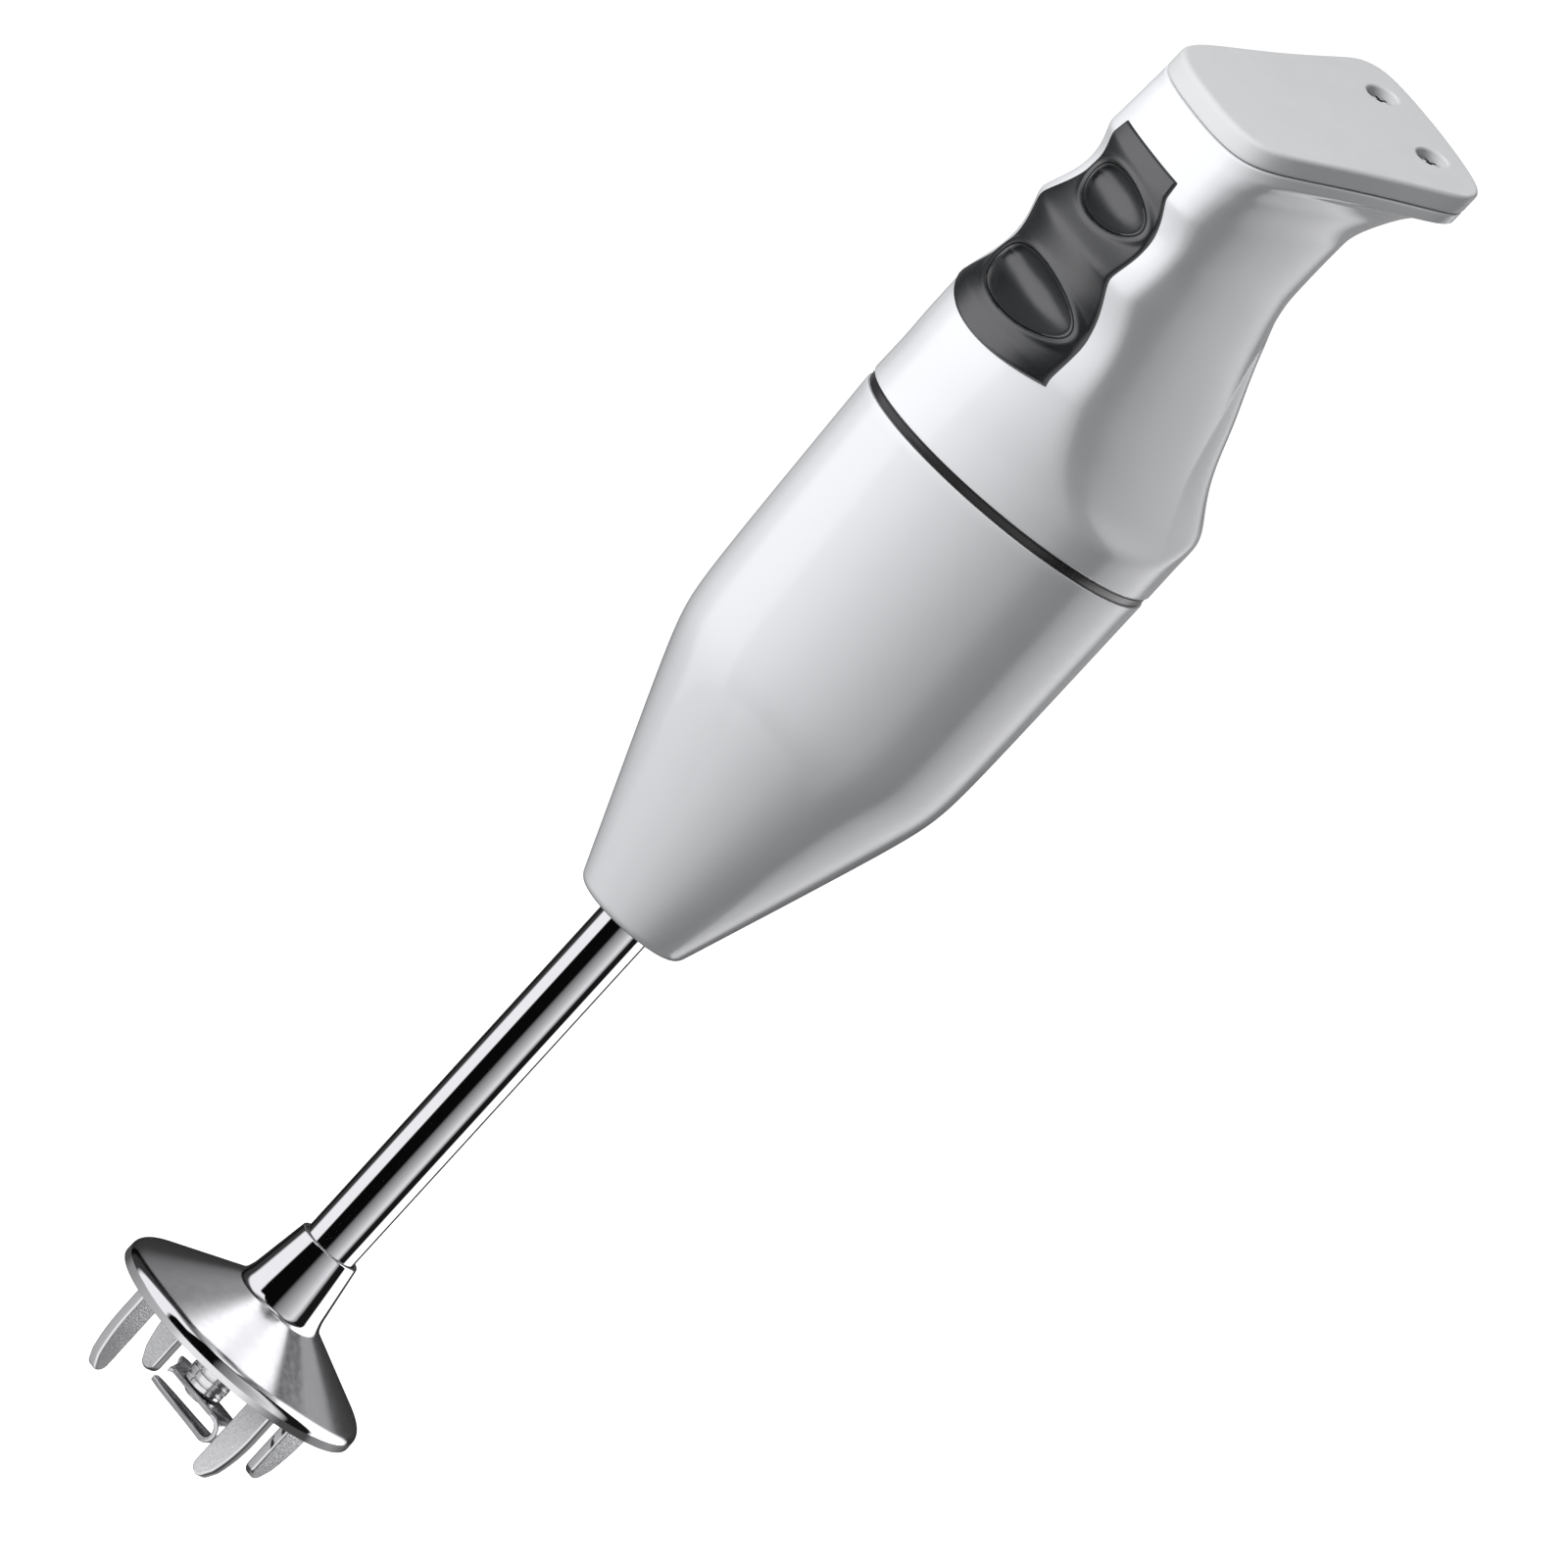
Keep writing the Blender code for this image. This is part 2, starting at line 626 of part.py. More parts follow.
def upper_housing():
    levels = grip_levels()
    outside = [grip_ring(level) for level in levels]
    inside = [grip_ring(level, WALL) for level in reversed(levels)]
    housing = tunnel("upper_housing", outside + inside, "white_gloss")
    for side in (-1, 1):
        top = (side * HOLE_X, HOLE_Y, cap_plane(HOLE_Y))
        join(housing, rod(f"screw_post_{side}", POST_RADIUS, *POST, steps=16, origin=top, turn=cap_lean()))
        cut(housing, rod(f"post_bore_{side}", SCREW_WAY, POST[0] + 0.0010, 0.0010, steps=12, origin=top,
                         turn=cap_lean()))
    cut(housing, front_patch("pad_recess", 0.0003, -0.0050, PAD_THICK + GAP))
    for name in BUTTONS:
        cut(housing, button_column(f"button_{name}_hole", name, 0.0004, -0.0450, -0.0180))
    cut(housing, gland_bar("gland_hole", GLAND_RADIUS + GAP, GLAND_START - 0.002, 0.0400))
    return housing


def cap_lean():
    return (math.atan(CAP_TILT), 0, 0)


def top_cap():
    low, high = SEAM_Z, SEAM_Z + CAP_HEIGHT
    rings = [grip_ring(low), grip_ring(high - CAP_EDGE), grip_ring(high - CAP_EDGE * 0.3, CAP_EDGE * 0.3)]
    rings += [grip_ring(high, CAP_EDGE)]
    cap = loft("top_cap", rings, "cap_grey")
    for side in (-1, 1):
        above = 0.0030
        way = [(0, above), (HOLE_RADIUS, above), (HOLE_RADIUS, SCREW_SEAT), (SCREW_WAY, SCREW_SEAT)]
        way += [(SCREW_WAY, SCREW_WAY_END), (0, SCREW_WAY_END)]
        cut(cap, turned(f"screw_way_{side}", way, closed=False, steps=20, turn=cap_lean(),
                        origin=(side * HOLE_X, HOLE_Y, cap_plane(HOLE_Y))))
    return cap


def cap_screws():
    for name, side in (("cap_screw_left", -1), ("cap_screw_right", 1)):
        head = HOLE_RADIUS - 0.0005
        profile = [
            (0, SCREW_HEAD[0]),
            (head - 0.0004, SCREW_HEAD[0]),
            (head, SCREW_HEAD[0] - 0.0005),
            (head, SCREW_HEAD[1]),
            (SCREW_SHANK, SCREW_HEAD[1]),
            (SCREW_SHANK, SCREW_END + 0.0006),
            (0, SCREW_END),
        ]
        screw = turned(name, profile, "steel", closed=False, steps=20, turn=cap_lean(),
                       origin=(side * HOLE_X, HOLE_Y, cap_plane(HOLE_Y)))
        slots = []
        for number, angle in enumerate((0, math.pi / 2)):
            slot = box(f"{name}_slot_{number}", (-0.0016, -0.0003, -0.0022), (0.0016, 0.0003, -0.0010))
            slot.location = screw.location + Matrix.Rotation(cap_lean()[0], 3, "X") @ Vector((0, 0, -0.0014))
            slot.rotation_euler = (cap_lean()[0], 0, 0)
            slot.data.transform(Matrix.Rotation(angle, 4, "Z"))
            slots.append(slot)
        cut(screw, *slots)


def pad_half(z):
    share = (PAD_TOP - z) / (PAD_TOP - PAD_BOTTOM)
    return PAD_HALF_TOP + (PAD_HALF_BOTTOM - PAD_HALF_TOP) * share


def front_patch(name, grow, outer, inner, look=None, columns=11, rows=15):
    """A skin over the finger grooves, from outer to inner below the grip's front skin."""
    front, back = [], []
    for row in range(rows):
        share = row / (rows - 1)
        front_row, back_row = [], []
        for column in range(columns):
            across = 2 * column / (columns - 1) - 1
            top = PAD_TOP + grow
            bottom = PAD_BOTTOM - grow - PAD_SAG * (1 - across**2)
            z = top + (bottom - top) * share
            x = across * (pad_half(z) + grow)
            skin = front_skin(x, z)
            front_row.append((x, skin + outer, z))
            back_row.append((x, skin + inner, z))
        front.append(front_row)
        back.append(back_row)

    def build(bm):
        grids = [[[bm.verts.new(point) for point in line] for line in grid] for grid in (front, back)]
        for grid in grids:
            for one, two in zip(grid, grid[1:]):
                for i in range(columns - 1):
                    bm.faces.new((one[i], one[i + 1], two[i + 1], two[i]))
        outlines = []
        for grid in grids:
            right = [line[-1] for line in grid[1:-1]]
            left = [line[0] for line in grid[1:-1]]
            outlines.append(grid[0] + right + grid[-1][::-1] + left[::-1])
        for i in range(len(outlines[0])):
            j = (i + 1) % len(outlines[0])
            bm.faces.new((outlines[0][i], outlines[0][j], outlines[1][j], outlines[1][i]))

    return place(mesh_from(build, name), name, look)


def grip_pad():
    pad = front_patch("grip_pad", 0.0, -PAD_PROUD, PAD_THICK - PAD_PROUD, "soft_dark")
    for name in BUTTONS:
        cut(pad, button_column(f"pad_{name}_hole", name, 0.0003, -0.0450, -0.0180))
    return pad


# ---------------------------------------------------------------- buttons and switches
def oval(half_x, half_z, count=32):
    angles = np.linspace(0, 2 * math.pi, count, endpoint=False)
    return [(half_x * math.cos(a), half_z * math.sin(a)) for a in angles]


def button_column(name, which, grow, front, back):
    """An oval bar along Y, as large as a button and this much more."""
    height, half_x, half_z, _ = BUTTONS[which]
    outline = oval(half_x + grow, half_z + grow)
    rings = [[(x, y, height + z) for x, z in outline] for y in (front, back)]
    return loft(name, rings)


def button(which):
    """An oval button whose face is a dish that follows the groove it sits in."""
    height, half_x, half_z, dish = BUTTONS[which]
    edge = [(x, front_skin(x, height + z) - PAD_PROUD, z) for x, z in oval(half_x, half_z)]
    rings = [[(x, BUTTON_BACK, height + z) for x, _, z in edge]]
    for share in (1.0, 0.93, 0.72, 0.45, 0.2):
        level = share**2.2
        lift = -0.0003 if share == 0.93 else 0.0
        rings.append([
            (x * share, dish + (y - dish) * level + lift, height + z * share) for x, y, z in edge
        ])
    body = loft(f"button_{which}", rings, "soft_dark")
    lip = box(f"button_{which}_lip", (-0.0060, BUTTON_BACK - 0.0004, height - half_z - 0.0016),
              (0.0060, BUTTON_BACK + 0.0010, height + half_z + 0.0016))
    join(body, lip)
    return body


def switch_set(which):
    """The plunger behind a button and the snap switch that it works."""
    height = BUTTONS[which][0]
    back = BUTTON_BACK + 0.0010
    tip = back + GAP + 0.0030
    rod(f"plunger_{which}", 0.0015, back + GAP, tip, "ivory_plastic", steps=20,
        origin=(0, 0, height), turn=(-math.pi / 2, 0, 0))
    face = tip + BUTTON_TRAVEL + GAP
    switch = box(f"microswitch_{which}", (-0.0060, face, height - 0.0050),
                 (0.0060, face + SWITCH_DEPTH, height + 0.0050), "black_plastic", bevel=0.0004)
    return switch, face + SWITCH_DEPTH


def electrics(board_y):
    """The board behind the switches, with the suppression capacitor and the mains terminals on it."""
    low, high, half, thick = BOARD
    box("switch_board", (-half, board_y, low), (half, board_y + thick, high), "board_green")
    back = board_y + thick + GAP
    low, high, half, deep = CAPACITOR
    box("capacitor", (-half, back, low), (half, back + deep, high), "blue_plastic", 0.0008)
    low, high, half, deep = TERMINALS
    terminals = box("terminal_block", (-half, back, low), (half, back + deep, high), "ivory_plastic", 0.0004)
    radius, aside = TERMINAL_BORE
    for side in (-1, 1):
        cut(terminals, rod(f"terminal_bore_{side}", radius, high - 0.0030, high + 0.0010, steps=12,
                           origin=(side * aside, back + deep / 2, 0)))


def gland_bar(name, radius, start, end, look=None, bore=0.0):
    """A round bar along Y, just under the beak's rear edge."""
    place_in = {"origin": (0, 0, GLAND_Z), "turn": (-math.pi / 2, 0, 0), "steps": 20}
    if bore:
        return ring(name, radius, bore, start, end, look, **place_in)
    return rod(name, radius, start, end, look, **place_in)


def cable_gland():
    return gland_bar("cable_gland", GLAND_RADIUS, GLAND_START, GLAND_END, "black_plastic", bore=GLAND_BORE)


# ---------------------------------------------------------------- motor
def rounded_box_outline(half_x, half_y, radius):
    points = []
    for sx, sy, start in ((1, 1, 0), (-1, 1, 90), (-1, -1, 180), (1, -1, 270)):
        centre = (sx * (half_x - radius), sy * (half_y - radius))
        points += arc(centre, radius, start, start + 90, 5)
    return points


def stator_core():
    height = STATOR_TOP - STATOR_BOTTOM
    raised = Matrix.Translation((0, 0, (STATOR_TOP + STATOR_BOTTOM) / 2))
    outline = rounded_box_outline(STATOR_HALF_X, STATOR_HALF_Y, STATOR_CORNER)
    core = slab("stator_core", outline, height, "laminated", matrix=raised)
    low, high = STATOR_BOTTOM - CLEAR, STATOR_TOP + CLEAR
    cut(core, rod("stator_bore", STATOR_BORE, low, high))
    for side_x in (-1, 1):
        for side_y in (-1, 1):
            xs = sorted(side_x * x for x in COIL_WINDOW[0])
            ys = sorted(side_y * y for y in COIL_WINDOW[1])
            cut(core, box(f"window_{side_x}_{side_y}", (xs[0], ys[0], low), (xs[1], ys[1], high)))


def field_coils():
    """One coil around each pole, its legs through the stator's windows."""
    inner, outer = COIL_X
    for name, side in (("field_coil_front", -1), ("field_coil_rear", 1)):
        ys = sorted(side * y for y in COIL_Y)
        low, high = STATOR_BOTTOM - COIL_OVERHANG, STATOR_TOP + COIL_OVERHANG
        coil = box(name, (-outer, ys[0], low), (outer, ys[1], high), "copper", bevel=0.0008)
        pole = box(name + "_window", (-inner, ys[0] - CLEAR, STATOR_BOTTOM - GAP),
                   (inner, ys[1] + CLEAR, STATOR_TOP + GAP))
        cut(coil, pole)


def armature():
    """The laminated core with its slots, and the end turns of its winding above and below."""
    edge, slot_start, slot_end = ROTOR_TOOTH
    outline = []
    for i in range(ROTOR_SLOTS):
        middle = i * 360 / ROTOR_SLOTS
        outline += arc((0, 0), ROTOR_RADIUS, middle - edge, middle + edge, 3)
        outline += arc((0, 0), ROTOR_RADIUS - ROTOR_SLOT_DEPTH, middle + slot_start, middle + slot_end, 2)
    low, high = STATOR_BOTTOM + GAP, STATOR_TOP - GAP
    raised = Matrix.Translation((0, 0, (low + high) / 2))
    core = slab("armature_core", outline, high - low, "laminated", matrix=raised)
    inner = ROTOR_SHAFT_RADIUS + GAP
    cut(core, rod("armature_bore", inner, low - CLEAR, high + CLEAR))
    for end, start, way in (("upper", high + GAP, 1), ("lower", low - GAP, -1)):
        profile = [
            (inner, start),
            (WINDING_RADIUS, start),
            (WINDING_RADIUS, start + way * WINDING_HEIGHT * 0.45),
            (WINDING_RADIUS * 0.82, start + way * WINDING_HEIGHT * 0.9),
            (inner, start + way * WINDING_HEIGHT),
        ]
        turned(f"armature_winding_{end}", profile if way < 0 else profile[::-1], "copper")


def rotor():
    rod("rotor_shaft", ROTOR_SHAFT_RADIUS, *ROTOR_SHAFT, "steel")
    armature()
    ring("commutator", COMMUTATOR_RADIUS, ROTOR_SHAFT_RADIUS + GAP, COMMUTATOR_BOTTOM, COMMUTATOR_TOP, "copper")
    cooling_fan()


def cooling_fan():
    """A hub with slanted vanes under a disc."""
    low, top = FAN_BOTTOM, FAN_BOTTOM + FAN_DISC[1]
    under = FAN_BOTTOM + FAN_DISC[0]
    fan = ring("cooling_fan", FAN_HUB, ROTOR_SHAFT_RADIUS + GAP, low, low + FAN_HEIGHT, "black_plastic")
    disc = ring("fan_disc", FAN_RADIUS, FAN_HUB - 0.0010, under, top)
    for i in range(FAN_BLADES):
        angle = i * 2 * math.pi / FAN_BLADES
        reach = FAN_RADIUS - 0.0065
        vane = box(f"vane_{i + 1}", (0.0, -VANE_HALF, low + 0.0003), (reach, VANE_HALF, under + 0.0006))
        vane.location = (VANE_MIDDLE * math.cos(angle), VANE_MIDDLE * math.sin(angle), vane.location.z)
        vane.rotation_euler = (0, 0, angle + VANE_TURN)
        join(fan, vane)
    join(fan, disc)
    return fan


def end_plates():
    """The plates that hold the two bearings, the upper one open beside the brushes."""
    outer, neck, low, high = LOWER_PLATE
    seat = BEARING_RADIUS + GAP
    profile = [(outer, high), (outer, low), (neck, low)]
    profile += [(neck, MOTOR_BOTTOM), (seat, MOTOR_BOTTOM), (seat, high)]
    turned("motor_end_plate_lower", profile, "cast")
    outer, neck, low, middle, high = UPPER_PLATE
    seat = UPPER_BEARING_RADIUS + GAP
    profile = [(neck, high), (neck, middle), (outer, middle), (outer, low), (seat, low), (seat, high)]
    plate = turned("motor_end_plate_upper", profile, "ivory_plastic")
    half_x, half_y, aside = PLATE_WINDOW
    for side in (-1, 1):
        cut(plate, box(f"plate_window_{side}", (-half_x, side * aside - half_y, low - CLEAR),
                       (half_x, side * aside + half_y, high + CLEAR)))


def bearings():
    inner = ROTOR_SHAFT_RADIUS + GAP
    ring("lower_bearing", BEARING_RADIUS, inner, MOTOR_BOTTOM, MOTOR_BOTTOM + BEARING_HEIGHT, "steel")
    ring("upper_bearing", UPPER_BEARING_RADIUS, inner, *UPPER_BEARING, "steel")


def side_box(name, side, start, end, half, low, high, look=None, bevel=0.0):
    """A box out along X on one side of the shaft."""
    xs = sorted((side * start, side * end))
    return box(name, (xs[0], -half, low), (xs[1], half, high), look, bevel)


def brushes():
    for name, side in (("left", -1), ("right", 1)):
        holder = side_box(f"brush_holder_{name}", side, *BRUSH_HOLDER, "bronze", 0.0004)
        cut(holder, side_box(f"brush_way_{name}", side, *BRUSH_WAY))
        side_box(f"brush_{name}", side, COMMUTATOR_RADIUS + GAP, *BRUSH, "carbon")


# ---------------------------------------------------------------- drive line and blade
def drive_line():
    """The coupling under the motor, the drive shaft in the tube and the pin that turns the hub."""
    radius, low, high = COUPLING
    coupling = ring("coupling", radius, ROTOR_SHAFT_RADIUS + GAP, low, high, "black_plastic")
    half, slot_top = COUPLING_SLOT
    cut(coupling, box("coupling_slot", (-2 * radius, -half, low - CLEAR), (2 * radius, half, slot_top)))
    shaft = rod("drive_shaft", DRIVE_RADIUS, SPINDLE_BOTTOM, DRIVE_TOP, "steel")
    across = {"origin": (0, 0, PIN_Z), "turn": (0, math.pi / 2, 0), "steps": 16}
    cut(shaft, rod("pin_hole", PIN_RADIUS + 0.0002, -CLEAR, CLEAR, **across))
    rod("drive_pin", PIN_RADIUS, -PIN_HALF, PIN_HALF, "steel", edge=0.0001, **across)


def blade_hub():
    """The sleeve that snaps on the drive shaft's end, slotted at the top for the drive pin."""
    bore = DRIVE_RADIUS + GAP
    profile = [
        (0, SPINDLE_BOTTOM - 0.0008),
        (bore, SPINDLE_BOTTOM - 0.0008),
        (bore, HUB_TOP),
        (HUB_RADIUS - 0.0004, HUB_TOP),
        (HUB_RADIUS, HUB_TOP - 0.0004),
        (HUB_RADIUS, HUB_BOTTOM + 0.0003),
        (HUB_RADIUS - 0.0003, HUB_BOTTOM),
        (0, HUB_BOTTOM),
    ]
    hub = turned("blade_hub", profile, "polished", closed=False)
    half, low = HUB_SLOT
    cut(hub, box("hub_slot", (-2 * HUB_RADIUS, -half, low), (2 * HUB_RADIUS, half, HUB_TOP + CLEAR)))
    cut(hub, rod("rivet_hole", RIVET_RADIUS + GAP, HUB_BOTTOM - 0.0010, HUB_BOTTOM + RIVET_DEPTH + GAP,
                 edge=0.0001, steps=20))
    return hub


def blade_stations():
    """The strip's line from wing to lower tip: x, z, near edge, far edge and twist."""
    bend = (BLADE_UPPER_Z - BLADE_LOWER_Z) / 2
    middle = (BLADE_BEND_X - bend, (BLADE_UPPER_Z + BLADE_LOWER_Z) / 2)
    stations = [(x, BLADE_UPPER_Z, near, far, twist) for x, near, far, twist in BLADE_WING]
    for share, (x, z) in zip(np.linspace(0, 1, 9), arc(middle, bend, 90, -90, 9)):
        half = BLADE_BEND_HALF[0] + (BLADE_BEND_HALF[1] - BLADE_BEND_HALF[0]) * share
        stations.append((x, z, -half, half, -BLADE_PITCH * share))
    return stations + [(x, BLADE_LOWER_Z, -half, half, -BLADE_PITCH) for x, half in BLADE_TAIL]


def blade():
    """A steel strip bent into a U, riveted to the hub through its upper arm."""
    line = blade_stations()
    rings = []
    for i, (x, z, near, far, twist) in enumerate(line):
        before, after = line[max(0, i - 1)], line[min(len(line) - 1, i + 1)]
        along = Vector((after[0] - before[0], after[1] - before[1])).normalized()
        ring_points = []
        for y, height in ((near, 1), (far, 1), (far, -1), (near, -1)):
            lift = y * math.sin(twist) + height * BLADE_THICK / 2
            ring_points.append((x - along.y * lift, y * math.cos(twist), z + along.x * lift))
        rings.append(ring_points)
    strip = loft("blade", rings, "steel")
    strip.rotation_euler = (0, 0, BLADE_TURN)
    reach = BLADE_THICK + 0.0010
    cut(strip, rod("blade_eye", RIVET_RADIUS + GAP, BLADE_UPPER_Z - reach, BLADE_UPPER_Z + reach, edge=0.0001,
                   steps=20))


def blade_rivet():
    top, under = HUB_BOTTOM + RIVET_DEPTH, BLADE_UPPER_Z - BLADE_THICK / 2 - GAP
    head, high = RIVET_HEAD
    profile = [
        (0, top),
        (RIVET_RADIUS, top),
        (RIVET_RADIUS, under),
        (head, under),
        (head - 0.0004, under - high + 0.0001),
        (0, under - high),
    ]
    turned("blade_rivet", profile, "steel", closed=False, steps=20)


def build_blender():
    bell_guard()
    shaft_tube()
    tube_collar()
    shaft_bushes()
    lower_housing()
    trim_ring()
    upper_housing()
    top_cap()
    cap_screws()
    grip_pad()
    for which in BUTTONS:
        button(which)
    rear_faces = [switch_set(which)[1] for which in BUTTONS]
    electrics(max(rear_faces) + GAP)
    cable_gland()
    stator_core()
    field_coils()
    rotor()
    end_plates()
    bearings()
    brushes()
    drive_line()
    blade_hub()
    blade()
    blade_rivet()


clear_scene()
parts = new_collection("immersion_blender")
cutters = new_collection("cutters")
cutters.hide_render = True
shaft_axis = bpy.data.objects.new("shaft_axis", None)
parts.objects.link(shaft_axis)
shaft_axis.location = (0, AXIS_Y, 0)
build_blender()
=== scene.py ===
"""The looks of the immersion blender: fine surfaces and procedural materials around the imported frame."""

import json
import math

import bmesh
import bpy
import numpy as np
from mathutils import Matrix, Vector


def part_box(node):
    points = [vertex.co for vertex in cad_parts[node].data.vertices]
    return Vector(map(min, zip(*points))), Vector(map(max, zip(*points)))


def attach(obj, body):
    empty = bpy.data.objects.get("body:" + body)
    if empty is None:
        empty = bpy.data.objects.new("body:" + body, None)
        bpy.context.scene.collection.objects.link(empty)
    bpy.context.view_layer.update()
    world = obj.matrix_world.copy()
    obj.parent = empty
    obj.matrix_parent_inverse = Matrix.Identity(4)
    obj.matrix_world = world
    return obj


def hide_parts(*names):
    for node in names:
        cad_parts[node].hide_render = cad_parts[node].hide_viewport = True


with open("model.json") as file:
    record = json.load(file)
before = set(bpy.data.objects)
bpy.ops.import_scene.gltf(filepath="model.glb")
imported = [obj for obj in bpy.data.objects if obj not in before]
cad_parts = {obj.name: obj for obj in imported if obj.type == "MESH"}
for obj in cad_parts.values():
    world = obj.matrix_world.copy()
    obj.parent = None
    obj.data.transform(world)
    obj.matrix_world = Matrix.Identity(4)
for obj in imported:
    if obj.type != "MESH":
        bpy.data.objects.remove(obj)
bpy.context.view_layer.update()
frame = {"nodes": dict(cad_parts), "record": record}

# ---------------------------------------------------------------- places read from the frame
MM = 0.001
AXIS_Y = sum(corner.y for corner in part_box("shaft_tube")) / 2
TUBE_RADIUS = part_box("shaft_tube")[1].x
RIM_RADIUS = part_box("bell_guard")[1].x
COLLAR_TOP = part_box("bell_guard")[1].z
NOSE_Z, BAND_BOTTOM = (corner.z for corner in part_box("lower_housing"))
HUB_BOTTOM, HUB_TOP = (corner.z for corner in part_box("blade_hub"))
HUB_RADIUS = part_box("blade_hub")[1].x
PAD_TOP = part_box("grip_pad")[1].z
GLAND_MIDDLE = sum((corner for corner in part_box("cable_gland")), Vector()) / 2
GLAND_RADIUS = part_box("cable_gland")[1].x
BAND_TOP = 235.5 * MM

# ---------------------------------------------------------------- shapes, with the sections of the CAD model
SECTION_POINTS = 192
GRIP_POINTS = 320
CONE_WIDTH = (131.1 * MM, 13.2 * MM, 0.374)
BARREL_WIDTH = (193.2 * MM, 31.5 * MM, 0.025)
KNEE_SOFTNESS = 1.1 * MM
BAND_FLATNESS = 0.095
BAND_SHIFT = -3.0 * MM
BARREL_HALF = 29.4 * MM
BARREL_DEEP = 35.3 * MM
FRONT_LINE = -30.0 * MM
CAP_TILT = 0.35
SEAM_Z = 313.4 * MM
CAP_HEIGHT = 4.2 * MM
CORNER_POWER = 9
FRONT_POWER = 36
REAR_POWER = 5.5
SIDE_FRONT = -28.0 * MM
SIDE_REAR = 12.0 * MM
SIDE_CURVE = 2.2
GRIP_STATIONS = (
    (0.2358, 0.00, -0.0383, 2.00, 0.060, 0.060, 0.0600, 0.0, -0.003),
    (0.2385, 0.00, -0.0382, 2.00, 0.040, 0.039, 0.0400, 0.0, -0.003),
    (0.2425, 0.00, -0.0381, 2.00, 0.0300, 0.0290, 0.0325, 0.0, -0.0035),
    (0.2500, 0.00, -0.0379, 2.05, 0.0256, 0.0230, 0.0270, 0.0, -0.0045),
    (0.2590, 0.00, -0.0374, 2.10, 0.0230, 0.0178, 0.0225, 0.0, -0.006),
    (0.2705, 0.01, -0.0368, 2.15, 0.0203, 0.0138, 0.0190, 0.0, -0.007),
    (0.2810, 0.04, -0.0361, 2.25, 0.0186, 0.0102, 0.0152, 0.0, -0.008),
    (0.2905, 0.12, -0.0352, 2.35, 0.0172, 0.0081, 0.0119, 0.0, -0.009),
    (0.3000, 0.22, -0.0344, 2.45, 0.0171, 0.0086, 0.0116, 0.0, -0.009),
    (0.3060, 0.29, -0.0338, 2.50, 0.0176, 0.0128, 0.0143, 0.0, -0.008),
    (0.3094, 0.33, -0.0334, 2.55, 0.0185, 0.0178, 0.0166, 1.5, -0.007),
    (0.3108, 0.35, -0.0332, 2.60, 0.0190, 0.0234, 0.0175, 3.5, -0.006),
    (0.3180, 0.35, -0.0329, 2.60, 0.0190, 0.0236, 0.0177, 3.5, -0.006),
)
GROOVES = ((0.2905, 0.0090, 0.0034), (0.2705, 0.0104, 0.0036))
PAD_BOTTOM = 258.8 * MM
PAD_SAG = 3.1 * MM
PAD_HALF_TOP = 10.2 * MM
PAD_HALF_BOTTOM = 18.0 * MM
PAD_PROUD = 0.5 * MM
BUTTONS = {
    "upper": (0.2907, 0.0099, 0.0050, -0.0298),
    "lower": (0.2682, 0.0137, 0.0056, -0.0293),
}
HOLE_X = 10.1 * MM
HOLE_Y = 10.2 * MM
HOLE_RADIUS = 3.1 * MM
HOLE_DEEP = 2.8 * MM
SHANK_WAY = 1.8 * MM
SHANK_RADIUS = 1.5 * MM
EDGE = 0.25 * MM
WALL = 2.2 * MM
NOSE_FLOOR = 2.5 * MM
NOSE_ROUNDING = 1.6 * MM
KNEE_START = 165 * MM
KNEE_END = 182 * MM
TRIM_INSET = 0.3 * MM
TRIM_STEP = 0.22 * MM
SEAM_GAP = 0.4 * MM
CAP_EDGE = 0.9 * MM
PAD_ROLL = 0.7 * MM
PAD_DEEP = 0.9 * MM
RIDGE = 0.38 * MM
RIDGE_PLACE = 0.30 * MM
RIDGE_WIDTH = 0.26 * MM
DISH_CURVE = 2.6
DISH_SHARES = (
    1.0, 0.995, 0.985, 0.965, 0.94, 0.915, 0.89, 0.86, 0.82, 0.77, 0.7, 0.6, 0.5, 0.4, 0.3, 0.2, 0.1, 0.03,
)
SWELL = 0.38 * MM
SWELL_PLACE = 0.55 * MM
SWELL_WIDTH = 0.5 * MM
BUTTON_BACK = -24.8 * MM
GLAND_BORE = 3.2 * MM
GLAND_START = 9.0 * MM
GLAND_END = 19.0 * MM
RIM_BOTTOM = 18.1 * MM
RIM_LIP = 2.1 * MM
CONE_FOOT = (26.4 * MM, 21.6 * MM)
CONE_TOP = (9.4 * MM, 30.4 * MM)
COLLAR_RADIUS = 8.35 * MM
COLLAR_FOOT = 32.8 * MM
COLLAR_TOP_RADIUS = 6.46 * MM
CEILING = 27.5 * MM
PRONG_RADIUS = 21.2 * MM
PRONG_FIRST = math.radians(76.5)
PRONG_SKEW = math.radians(23)
PRONG_WIDTH = 6.3 * MM
PRONG_THICK = 2.35 * MM
BLADE_THICK = 1.1 * MM
BLADE_UPPER_Z = 7.6 * MM
BLADE_LOWER_Z = 2.9 * MM
BLADE_BEND_X = 9.8 * MM
BLADE_TURN = math.radians(15.5)
BLADE_PITCH = 0.20
BLADE_BEND_HALF = (4.0 * MM, 2.0 * MM)
BLADE_WING = (
    (-9.2 * MM, 2.6 * MM, 3.6 * MM, 0.20),
    (-7.8 * MM, 0.9 * MM, 4.1 * MM, 0.20),
    (-6.4 * MM, -2.0 * MM, 4.3 * MM, 0.18),
    (-5.6 * MM, -4.1 * MM, 4.3 * MM, 0.12),
    (-4.6 * MM, -3.8 * MM, 4.3 * MM, 0.0),
    (5.0 * MM, -4.0 * MM, 4.2 * MM, 0.0),
)
